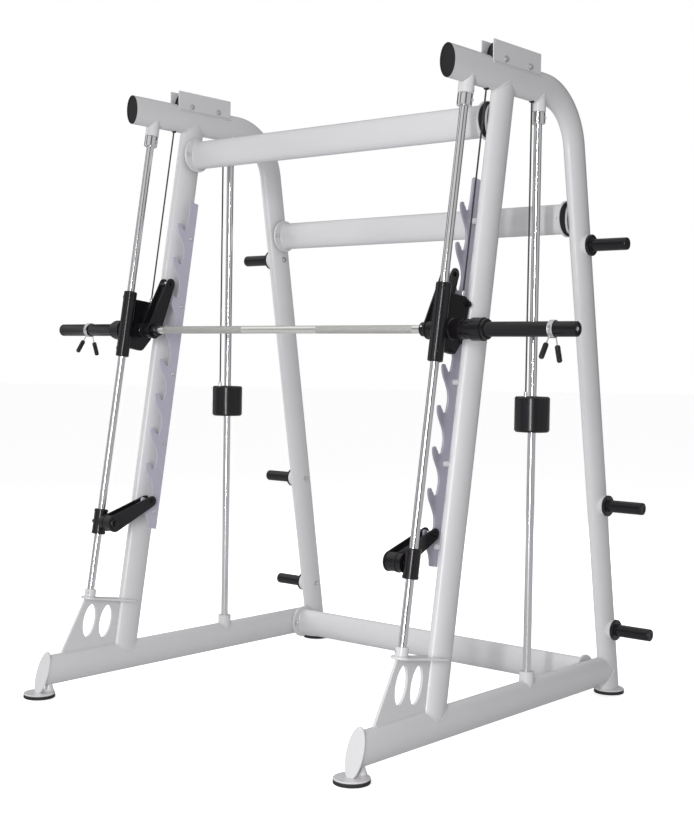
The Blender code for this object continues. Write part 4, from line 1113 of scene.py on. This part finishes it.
def build_carriage(side):
    s, sign = sizes(), SIDES[side]
    there = lean(side) @ at(z=BAR_LOCAL.z)
    bore = s.rod_radius + BORE_ROOM
    low, high = -0.115, 0.137
    piece(
        f"housing_{side}", drum(HOUSING_RADIUS, low, high, 0.002, bore), "black_paint", "carriages",
        there,
        (f"carriage_{side}",),
    )
    for name, z in (("lower", low), ("upper", high - 0.012)):
        piece(
            f"bearing_{name}_{side}", drum(0.0185, z - 0.0012, z + 0.0132, 0.0006, bore),
            "plastic", "carriages", there,
        )
    outline = rounded_corners(
        [
            (0.010, -0.078), (0.084, -0.079), (0.094, -0.074), (0.126, -0.028), (0.1285, -0.018),
            (0.1415, 0.098), (0.138, 0.107), (0.116, 0.117), (0.010, 0.112),
        ],
        0.006,
    )
    piece(
        f"bearing_plate_{side}", plate(outline, 0.016, rounding=0.0015), "black_paint",
        "carriages", there @ FLAT_TO_SIDE,
    )
    axis = there @ at(y=BAR_LOCAL.y)
    out, bar_bore = axis @ outward(side), s.bar_radius + 0.0005
    piece(
        f"inner_boss_{side}", drum(0.030, -0.038, 0, 0.002, bar_bore), "black_paint", "carriages",
        out,
    )
    collar = [
        (bar_bore, 0.067), (0.0305, 0.067), (0.0325, 0.065), (0.0325, 0.054), (0.0312, 0.0525),
        (0.0312, 0.050), (0.0325, 0.0485), (0.0325, 0.012), (0.036, 0.008), (bar_bore, 0.008),
        (bar_bore, 0.067),
    ]
    piece(f"collar_boss_{side}", lathe(collar), "black_paint", "carriages", out)
    for number, (y, z) in enumerate(((0.133, 0.098), (0.118, -0.030), (0.070, -0.066))):
        spot = there @ at(sign * 0.008, y - 0.004, z - 0.004) @ outward(side)
        if number == 0:
            hexagon_bolt(f"carriage_bolt_{side}", "carriages", spot, 0.010, 0.008, "dark_bolt")
        else:
            cap_screw(
                f"carriage_screw_{number}_{side}", "carriages", spot, 0.0065, 0.004, "dark_bolt"
            )
    for number, z in enumerate((-0.085, 0.115)):
        spot = there @ turn(math.radians(40) * sign, "Z") @ at(y=-0.025, z=z)
        cap_screw(
            f"housing_screw_{number}_{side}", "carriages", spot @ turn(math.pi / 2, "X"),
            0.0045, 0.002, "dark_bolt",
        )
    anchor = there @ at(y=0.109, z=0.112)
    piece(
        f"cable_socket_{side}", drum(0.0065, 0, 0.022, 0.0012, 0.0032), "bolt", "carriages", anchor
    )


def build_bar():
    s = sizes()
    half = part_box("bar")[1].x
    bar = piece(
        "lifting_bar", drum(s.bar_radius, -half, half, 0.0015), "knurled", "bar",
        at(0, BAR.y, BAR.z), ("bar",),
    )
    bar.data.transform(Z_TO_X)
    rotated = math.acos((0.119 - BAR_LOCAL.y) / BAR_ARM)  # the pin hangs clear of the prongs
    for side in SIDES:
        where = lean(side) @ at(y=BAR_LOCAL.y, z=BAR_LOCAL.z) @ turn(rotated, "X")
        end = hook_pieces(
            "bar_hook", "bar", side, where, BAR_ARM, 0.0383, s.bar_radius, f"bar_hook_{side}"
        )
        hub = where @ turn(-SIDES[side] * math.pi / 2, "Y")
        piece(
            f"bar_hub_{side}", drum(0.0235, end + 0.003, end + 0.024, 0.002, s.bar_radius),
            "black_paint", "bar", hub,
        )
        screw = hub @ at(x=0.0235, z=end + 0.0135) @ Z_TO_X
        cap_screw(f"bar_hub_screw_{side}", "bar", screw, 0.004, 0.0025)


def build_sleeve(side):
    """Turned sleeve with a stepped shoulder and a bolted end."""
    s = sizes()
    low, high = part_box(f"sleeve_{side}")
    start = min(abs(low.x), abs(high.x)) - HALF_SPAN
    end = BAR_END - HALF_SPAN
    bore, radius, flange = s.bar_radius + 0.0005, s.sleeve_radius, s.flange_radius
    shoulder = start + 0.075
    profile = [
        (bore, end - 0.004), (radius - 0.006, end - 0.004), (radius - 0.005, end - 0.001),
        (radius - 0.003, end), (radius, end - 0.003), (radius, end - 0.012),
        (radius - 0.0012, end - 0.013), (radius - 0.0012, end - 0.016), (radius, end - 0.017),
        (radius, shoulder + 0.002), (radius + 0.001, shoulder), (flange - 0.006, shoulder),
        (flange - 0.0045, shoulder - 0.0015), (flange - 0.0045, shoulder - 0.012),
        (flange - 0.0015, shoulder - 0.0125), (flange, shoulder - 0.014), (flange, start + 0.022),
        (flange - 0.0015, start + 0.0205), (flange - 0.005, start + 0.0195),
        (flange - 0.005, start + 0.001), (flange - 0.006, start), (bore, start),
        (bore, end - 0.004),
    ]
    out = lean(side) @ at(y=BAR_LOCAL.y, z=BAR_LOCAL.z) @ outward(side)
    piece(
        f"plate_sleeve_{side}", lathe(profile), "black_paint", f"sleeve_{side}", out,
        (f"sleeve_{side}",),
    )
    plug = [
        (0, end - 0.0035), (0.0085, end - 0.0035), (0.0095, end - 0.0025), (0.0155, end - 0.0022),
        (0.0185, end - 0.004), (0, end - 0.0045),
    ]
    piece(f"sleeve_end_plug_{side}", lathe(plug), "black_paint", f"sleeve_{side}", out)
    cap_screw(f"sleeve_end_screw_{side}", f"sleeve_{side}", out @ at(z=end - 0.0036), 0.0065, 0.0032)


def build_clip(side):
    """Coiled spring clip: five turns of round wire, two wire legs and two ribbed grips."""
    s, sign = sizes(), SIDES[side]
    centre = middle(f"spring_clip_{side}").x - sign * HALF_SPAN
    body = f"clip_{side}"
    out = lean(side) @ at(centre, BAR_LOCAL.y, BAR_LOCAL.z) @ outward(side)
    coil_radius, wire_radius = s.sleeve_radius + 0.0024, 0.0020
    turns, steps, width = 5, 40, 0.018
    coil = []
    for step in range(turns * steps + 1):
        angle = 2 * math.pi * step / steps
        z = width * (step / (turns * steps) - 0.5)
        coil.append((coil_radius * math.cos(angle), coil_radius * math.sin(angle), z))
    piece(f"clip_coil_{side}", wire(coil, wire_radius), "chrome", body, out, (f"spring_clip_{side}",))
    for number, splay in enumerate((math.radians(-33), math.radians(18))):
        offset = (number - 0.5) * 0.011
        hang = lean(side) @ at(centre + offset, BAR_LOCAL.y, BAR_LOCAL.z) @ turn(ROD_LEAN + splay, "X")
        neck = wire([(0, 0, -0.025), (0, 0, -0.040), (0, 0, -0.060)], 0.0021)
        piece(f"clip_wire_{number}_{side}", neck, "chrome", body, hang)
        grip = [(0, -0.052), (0.0055, -0.052), (0.0075, -0.054)]
        for rib in range(6):
            z = -0.059 - rib * 0.0063
            grip += [(0.0088, z), (0.0088, z - 0.0032), (0.0076, z - 0.004), (0.0076, z - 0.0055)]
        grip += [(0.0088, -0.098), (0.0084, -0.102), (0.0058, -0.1055), (0, -0.106)]
        piece(f"clip_grip_{number}_{side}", lathe(grip, 32), "plastic", body, hang)


# Pulleys, cables and counterweights


def build_pulleys(side):
    s, sign = sizes(), SIDES[side]
    x = sign * HALF_SPAN
    low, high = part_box(f"pulley_bracket_{side}")
    half_x, half_z = s.tube_wide / 2, s.tube_tall / 2
    inner, thick = 0.0215, 0.004
    foot = TOP_Z + half_z * math.sqrt(1 - (inner / half_x) ** 2) - 0.004
    corners = [(low.y, foot), (high.y, foot), (high.y, high.z), (low.y, high.z)]
    for name, offset in (("near", inner + thick / 2), ("far", -inner - thick / 2)):
        outline = rounded_corners(corners, 0.003)
        stands_for = (f"pulley_bracket_{side}",) if name == "near" else ()
        piece(
            f"bracket_{name}_{side}", plate(outline, thick), "frame_paint", "frame",
            at(x + offset) @ FLAT_TO_SIDE, stands_for,
        )
        seam_z = TOP_Z + half_z * math.sqrt(1 - ((inner + thick) / half_x) ** 2)
        seam_x = x + offset + math.copysign(thick / 2 + 0.001, offset)
        seam = [(seam_x, low.y + (high.y - low.y) * i / 20, seam_z + 0.001) for i in range(21)]
        piece(f"bracket_weld_{name}_{side}", wire(seam, 0.0024), "frame_paint", "frame")
        for place, axle_y in (("front", FRONT_PULLEY.y), ("rear", REAR_PULLEY.y)):
            way = math.copysign(1, offset)
            face = at(x + way * (inner + thick), axle_y, FRONT_PULLEY.z)
            out = turn(way * math.pi / 2, "Y")
            hexagon_bolt(f"axle_{place}_{name}_{side}", "frame", face @ out, 0.0085, 0.005)
            piece(
                f"spacer_{place}_{name}_{side}", drum(0.0105, 0, 0.0112, 0.0006), "bolt", "frame",
                face @ at(x=-way * (thick + 0.0115)) @ out,
            )
    for place, centre in (("front", FRONT_PULLEY), ("rear", REAR_PULLEY)):
        profile = [
            (0.0085, 0.0100), (0.018, 0.0100), (0.020, 0.0075), (0.044, 0.0070), (0.047, 0.0095),
            (0.0590, 0.0100), (0.0600, 0.0092), (0.0600, 0.0070), (0.0555, 0.0044),
            (0.0520, 0.0030), (0.0508, 0.0),
        ]
        profile += [(radius, -z) for radius, z in reversed(profile[:-1])] + [profile[0]]
        piece(
            f"{place}_wheel_{side}", lathe(profile, 72), "plastic", f"{place}_pulley_{side}",
            at(x, centre.y, centre.z) @ Z_TO_X, (f"{place}_pulley_{side}",),
        )


def build_cables(side):
    """Front run, the turn over the pulleys and the rear run, held taut by the counterweight."""
    s, sign = sizes(), SIDES[side]
    x, radius = sign * HALF_SPAN, 0.055
    there = lean(side)
    start = there @ Vector((0, 0.109, BAR_LOCAL.z + 0.1183))
    leave = there @ Vector((0, 0.109, lean_height(FRONT_PULLEY.z, 0.109 + radius)))
    front = [start.lerp(leave, step / 60) for step in range(61)]
    rope = piece(
        f"front_rope_{side}", wire(front, s.cable_radius, resolution=2), "cable", "frame",
        replaces=(f"bar_cable_{side}",),
    )
    release(rope)
    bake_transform(rope)
    first = 180 - math.degrees(ROD_LEAN)
    over = arc((FRONT_PULLEY.y, FRONT_PULLEY.z), radius, first, 90, 24) + arc(
        (REAR_PULLEY.y, REAR_PULLEY.z), radius, 90, 0, 24
    )
    piece(
        f"top_rope_{side}", wire([(x, y, z) for y, z in over], s.cable_radius, resolution=2),
        "cable", "frame", replaces=(f"top_cable_{side}",),
    )
    rear_y = REAR_PULLEY.y + radius
    top, bottom = REAR_PULLEY.z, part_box(f"weight_cable_{side}")[0].z
    rear = [(x, rear_y, top + (bottom - top) * step / 60) for step in range(61)]
    rope = piece(
        f"rear_rope_{side}", wire(rear, s.cable_radius, resolution=2), "cable", "frame",
        replaces=(f"weight_cable_{side}",),
    )
    release(rope)
    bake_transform(rope)
    for name, frame_of, z in (
        ("front_grommet", there @ at(y=0.109), lean_height(TOP_Z - s.tube_tall / 2, 0.109)),
        ("rear_grommet", at(x, rear_y, 0), TOP_Z - s.tube_tall / 2),
    ):
        ring = [
            (0.0042, 0.010), (0.0080, 0.010), (0.0092, 0.004), (0.0090, -0.001), (0.0075, -0.003),
            (0.0050, -0.0034), (0.0042, -0.002), (0.0042, 0.010),
        ]
        piece(f"{name}_{side}", lathe(ring, 40), "rubber", "frame", frame_of @ at(z=z))


def release(obj):
    """Lets go of the body, because a bending piece has no parent."""
    obj.parent = None
    obj.matrix_world = Matrix()
    if "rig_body" in obj:
        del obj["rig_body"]


def build_counterweight(side):
    s, sign = sizes(), SIDES[side]
    low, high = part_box(f"counterweight_{side}")
    radius, bore = s.weight_radius, s.rod_radius + BORE_ROOM
    profile = [
        (bore, high.z - 0.0005), (0.019, high.z - 0.0005), (0.020, high.z - 0.002),
        (radius - 0.005, high.z - 0.002), (radius, high.z - 0.007), (radius, low.z + 0.006),
        (radius - 0.005, low.z), (bore, low.z), (bore, high.z - 0.0005),
    ]
    body = f"weight_{side}"
    where = at(sign * HALF_SPAN, WEIGHT_ROD_Y, 0)
    piece(
        f"weight_block_{side}", lathe(profile, 72), "black_paint", body, where,
        (f"counterweight_{side}",),
    )
    eye = at(sign * HALF_SPAN, REAR_PULLEY.y + 0.055, high.z - 0.003)
    piece(f"weight_ferrule_{side}", drum(0.0065, 0, 0.018, 0.001, 0.0032), "bolt", body, eye)


# Pegs


def build_pegs(side):
    s, sign = sizes(), SIDES[side]
    for name in ("upper", "middle", "lower"):
        node = f"{name}_plate_peg_{side}"
        low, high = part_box(node)
        base, tip = sorted((abs(low.x), abs(high.x)))
        centre = (low + high) / 2
        ring = (high.z - low.z) / 2
        length = tip - base
        profile = [
            (0, length - 0.003), (0.010, length - 0.003), (0.0115, length - 0.001),
            (s.peg_radius - 0.004, length), (s.peg_radius - 0.0012, length - 0.0012),
            (s.peg_radius, length - 0.004), (s.peg_radius, length - 0.012),
            (s.peg_radius - 0.0008, length - 0.0128), (s.peg_radius - 0.0008, length - 0.0145),
            (s.peg_radius, length - 0.0155), (s.peg_radius, 0.0135), (s.peg_radius + 0.002, 0.012),
            (ring - 0.003, 0.012), (ring, 0.009), (ring, 0.0015), (ring - 0.0015, 0), (0, 0),
        ]
        there = at(sign * base, centre.y, centre.z) @ outward(side)
        piece(f"{name}_peg_{side}", lathe(profile), "black_paint", "frame", there, (node,))
        depth = base - HALF_SPAN - GAP
        boss = at(sign * (base - GAP), centre.y, centre.z) @ outward(side)
        piece(
            f"{name}_peg_boss_{side}", drum(ring, -depth + 0.012, 0, 0.0015), "frame_paint",
            "frame", boss,
        )
        face = at(sign * (HALF_SPAN - s.tube_wide / 2 + 0.0005), centre.y, centre.z)
        hexagon_bolt(
            f"{name}_peg_bolt_{side}", "frame", face @ turn(-sign * math.pi / 2, "Y"), 0.0095, 0.006
        )


# Stage


def aim(obj, place, target):
    obj.location = place
    obj.rotation_mode = "QUATERNION"
    obj.rotation_quaternion = (Vector(target) - Vector(place)).to_track_quat("-Z", "Y")


def soft_light(name, place, target, wide, tall, power, mirrored=True):
    light = bpy.data.lights.new(name, "AREA")
    light.shape = "RECTANGLE"
    light.size = wide
    light.size_y = tall
    light.energy = power
    obj = bpy.data.objects.new(name, light)
    obj.visible_glossy = mirrored
    bpy.context.scene.collection.objects.link(obj)
    aim(obj, place, target)


def build_camera():
    """Eye level at the front right corner, level but for a slight tilt and roll."""
    yaw, pitch, roll = math.radians(39.70), math.radians(1.919), math.radians(0.949)
    right = Vector((math.cos(yaw), math.sin(yaw), 0))
    level = Vector((-math.sin(yaw), math.cos(yaw), 0))
    forward = level * math.cos(pitch) - Vector((0, 0, math.sin(pitch)))
    up = right.cross(forward)
    across = right * math.cos(roll) + up * math.sin(roll)
    above = up * math.cos(roll) - right * math.sin(roll)
    data = bpy.data.cameras.new("camera")
    data.sensor_width = 36
    data.lens = 59.32
    data.shift_x = -0.0166
    data.shift_y = -0.0086
    data.clip_start = 0.05
    data.clip_end = 60
    obj = bpy.data.objects.new("camera", data)
    bpy.context.scene.collection.objects.link(obj)
    obj.matrix_world = at(3.3163, -3.8428, 1.2530) @ Matrix(
        (
            (across.x, above.x, -forward.x, 0), (across.y, above.y, -forward.y, 0),
            (across.z, above.z, -forward.z, 0), (0, 0, 0, 1),
        )
    )
    bpy.context.scene.camera = obj


def studio_light_colour(tree):
    """Bright overhead and dimmer to the right. Only reflections see the soft dark flags."""
    facing = add_node(tree, "ShaderNodeTexCoord").outputs["Generated"]
    axes = add_node(tree, "ShaderNodeSeparateXYZ", {0: facing})
    height = add_node(
        tree, "ShaderNodeMapRange",
        {
            "Value": axes.outputs["Z"], "From Min": 0.0, "From Max": 0.75, "To Min": 0.57,
            "To Max": 0.74,
        },
        interpolation_type="SMOOTHSTEP",
    ).outputs[0]
    across = add_node(
        tree, "ShaderNodeMapRange",
        {"Value": axes.outputs["X"], "From Min": -0.7, "From Max": 0.8, "To Min": 1.15, "To Max": 0.80},
    ).outputs[0]
    heading = maths(tree, "ARCTAN2", axes.outputs["Y"], axes.outputs["X"])
    wave = maths(tree, "SINE", maths(tree, "MULTIPLY_ADD", heading, 4.0, 0.9))
    flags = add_node(
        tree, "ShaderNodeMapRange",
        {"Value": wave, "From Min": -0.85, "From Max": -0.45, "To Min": 0.25, "To Max": 1.1},
        interpolation_type="SMOOTHSTEP",
    ).outputs[0]
    away = add_node(
        tree, "ShaderNodeVectorMath", {0: facing, 1: (-0.64, 0.77, 0.0)}, operation="DOT_PRODUCT"
    ).outputs["Value"]
    behind = add_node(
        tree, "ShaderNodeMapRange",
        {"Value": away, "From Min": 0.20, "From Max": 0.75, "To Min": 1.0, "To Max": 0.10},
        interpolation_type="SMOOTHSTEP",
    ).outputs[0]
    flags = maths(tree, "MULTIPLY", flags, behind)
    low = add_node(
        tree, "ShaderNodeMapRange",
        {"Value": axes.outputs["Z"], "From Min": 0.45, "From Max": 0.8, "To Min": 1.0, "To Max": 0.0},
    ).outputs[0]
    open_sky = maths(tree, "SUBTRACT", 1.0, low)
    flags = maths(tree, "MULTIPLY_ADD", flags, low, open_sky)
    mirrored = add_node(tree, "ShaderNodeLightPath").outputs["Is Glossy Ray"]
    flags = add_node(
        tree, "ShaderNodeMapRange", {"Value": mirrored, "To Min": 0.80, "To Max": flags}
    ).outputs[0]
    return maths(tree, "MULTIPLY", maths(tree, "MULTIPLY", height, across), flags)


def build_stage():
    bm = bmesh.new()
    bmesh.ops.create_circle(bm, cap_ends=True, segments=96, radius=60)
    mesh = bpy.data.meshes.new("floor")
    bm.to_mesh(mesh)
    bm.free()
    floor = bpy.data.objects.new("studio_floor", mesh)
    bpy.context.scene.collection.objects.link(floor)
    mesh.materials.append(FINISHES["floor"])
    world = bpy.data.worlds.new("studio")
    world.use_nodes = True
    tree = world.node_tree
    lit = tree.nodes["Background"]
    tree.links.new(studio_light_colour(tree), lit.inputs["Strength"])
    lit.inputs["Color"].default_value = (1.0, 1.0, 1.0, 1)
    seen = add_node(tree, "ShaderNodeBackground", {"Color": (1.0, 1.0, 1.0, 1), "Strength": 1.0})
    path = add_node(tree, "ShaderNodeLightPath")
    mixed = add_node(tree, "ShaderNodeMixShader", {0: path.outputs["Is Camera Ray"]})
    tree.links.new(lit.outputs[0], mixed.inputs[1])
    tree.links.new(seen.outputs[0], mixed.inputs[2])
    tree.links.new(mixed.outputs[0], tree.nodes["World Output"].inputs["Surface"])
    bpy.context.scene.world = world
    bpy.context.scene.view_settings.view_transform = "Standard"
    soft_light("key", (-5.2, -1.2, 2.6), (0, 0, 1.0), 1.6, 3.0, 170, mirrored=False)
    soft_light("fill", (2.8, -5.0, 1.7), (0.1, 0, 1.1), 2.0, 2.2, 102, mirrored=False)
    soft_light("rear_fill", (-1.2, 5.4, 2.4), (0, 0, 1.1), 2.4, 2.4, 120, mirrored=False)
    soft_light("front_strip", (3.0, -5.3, 1.6), (0.2, 0, 1.1), 0.16, 3.6, 160)
    build_camera()


# Operators


def each_side(*builders):
    for side in SIDES:
        for builder in builders:
            builder(side)
    return {"FINISHED"}


class SMITH_OT_finishes(bpy.types.Operator):
    """Make the paints, metals, rubber and cable finishes"""

    bl_idname = "smith_machine.finishes"
    bl_label = "Finishes"

    def execute(self, context):
        c = colours()
        groups = {
            "grain": grain_group(), "dust": dust_group(), "streak": streak_group(),
            "knurl": knurl_group(),
        }
        dust = (0.55, 0.54, 0.52)
        coated("frame_paint", c.frame, groups, 700, 0.05, 0.34, 0.12, 0.0002, 0.10, dust,
               Coat_Weight=0.25, Coat_Roughness=0.18)
        coated("rack_paint", c.rack, groups, 700, 0.06, 0.36, 0.12, 0.0002, 0.10, dust,
               Coat_Weight=0.15, Coat_Roughness=0.2)
        coated("black_paint", c.black, groups, 900, 0.30, 0.22, 0.10, 0.0001, 0.012, dust,
               Specular_IOR_Level=0.42)
        coated("plastic", c.plastic, groups, 1400, 0.25, 0.45, 0.15, 0.0002, 0.015, dust,
               Specular_IOR_Level=0.4)
        coated("rubber", c.rubber, groups, 1100, 0.35, 0.72, 0.15, 0.0005, 0.16, dust)
        polished("chrome", c.chrome, groups, (260, 260, 2.5), 0.07, 0.17, 0.0001)
        polished("bolt", c.chrome, groups, (700, 700, 700), 0.16, 0.36, 0.0002)
        dark = [0.07 * part for part in c.chrome]
        polished("dark_bolt", dark, groups, (700, 700, 700), 0.22, 0.4, 0.0002)
        knurled("knurled", c.steel, groups)
        roped("cable", (0.02, 0.02, 0.02))
        coated("floor", c.floor, groups, 260, 0.01, 0.62, 0.05, 0.0002, 0.0, dust)
        soften_bounce(FINISHES["floor"].node_tree)
        return {"FINISHED"}


class SMITH_OT_side_frames(bpy.types.Operator):
    """Build the oval tubes, feet, shelves and end caps of both side frames"""

    bl_idname = "smith_machine.side_frames"
    bl_label = "Side frames"

    def execute(self, context):
        return each_side(build_side_frame)


class SMITH_OT_crossbars(bpy.types.Operator):
    """Build the three crossbars with their flanges and bolts"""

    bl_idname = "smith_machine.crossbars"
    bl_label = "Crossbars"

    def execute(self, context):
        build_crossbars()
        return {"FINISHED"}


class SMITH_OT_rods(bpy.types.Operator):
    """Build the chromed rods and their collars"""

    bl_idname = "smith_machine.rods"
    bl_label = "Rods"

    def execute(self, context):
        return each_side(build_rods)


class SMITH_OT_racks(bpy.types.Operator):
    """Build the hook racks and the safety stops that hang in them"""

    bl_idname = "smith_machine.racks"
    bl_label = "Racks and stops"

    def execute(self, context):
        return each_side(build_rack, build_stop)


class SMITH_OT_carriages(bpy.types.Operator):
    """Build the bar's bearing carriages"""

    bl_idname = "smith_machine.carriages"
    bl_label = "Carriages"

    def execute(self, context):
        return each_side(build_carriage)


class SMITH_OT_bar(bpy.types.Operator):
    """Build the knurled bar, its hooks, the sleeves and the spring clips"""

    bl_idname = "smith_machine.bar"
    bl_label = "Bar"

    def execute(self, context):
        build_bar()
        return each_side(build_sleeve, build_clip)


class SMITH_OT_counterbalance(bpy.types.Operator):
    """Build the pulleys, cables and counterweights"""

    bl_idname = "smith_machine.counterbalance"
    bl_label = "Counterbalance"

    def execute(self, context):
        return each_side(build_pulleys, build_cables, build_counterweight)


class SMITH_OT_pegs(bpy.types.Operator):
    """Build the plate pegs"""

    bl_idname = "smith_machine.pegs"
    bl_label = "Plate pegs"

    def execute(self, context):
        return each_side(build_pegs)


class SMITH_OT_stage(bpy.types.Operator):
    """Lay the floor and set the lights and the camera"""

    bl_idname = "smith_machine.stage"
    bl_label = "Stage"

    def execute(self, context):
        build_stage()
        return {"FINISHED"}


OPERATORS = (
    SMITH_OT_finishes, SMITH_OT_side_frames, SMITH_OT_crossbars, SMITH_OT_rods, SMITH_OT_racks,
    SMITH_OT_carriages, SMITH_OT_bar, SMITH_OT_counterbalance, SMITH_OT_pegs, SMITH_OT_stage,
)


class SMITH_PT_panel(bpy.types.Panel):
    """Lists the steps and the main sizes"""

    bl_label = "Smith machine"
    bl_idname = "SMITH_PT_panel"
    bl_space_type = "VIEW_3D"
    bl_region_type = "UI"
    bl_category = "Smith machine"

    def draw(self, context):
        for operator in OPERATORS:
            self.layout.operator(operator.bl_idname)
        for settings in (context.scene.smith_machine_sizes, context.scene.smith_machine_colours):
            for name in settings.__annotations__:
                self.layout.prop(settings, name)


CLASSES = (SmithMachineSizes, SmithMachineColours, *OPERATORS, SMITH_PT_panel)


def register():
    for cls in CLASSES:
        bpy.utils.register_class(cls)
    bpy.types.Scene.smith_machine_sizes = bpy.props.PointerProperty(type=SmithMachineSizes)
    bpy.types.Scene.smith_machine_colours = bpy.props.PointerProperty(type=SmithMachineColours)


def unregister():
    del bpy.types.Scene.smith_machine_sizes
    del bpy.types.Scene.smith_machine_colours
    for cls in reversed(CLASSES):
        bpy.utils.unregister_class(cls)


def main():
    register()
    for name in ("smith_machine_finished", "smith_machine_tools"):
        bpy.context.scene.collection.children.link(bpy.data.collections.new(name))
    steps = bpy.ops.smith_machine
    steps.finishes()
    steps.side_frames()
    steps.crossbars()
    steps.rods()
    steps.racks()
    steps.carriages()
    steps.bar()
    steps.counterbalance()
    steps.pegs()
    steps.stage()


if __name__ == "__main__":
    main()
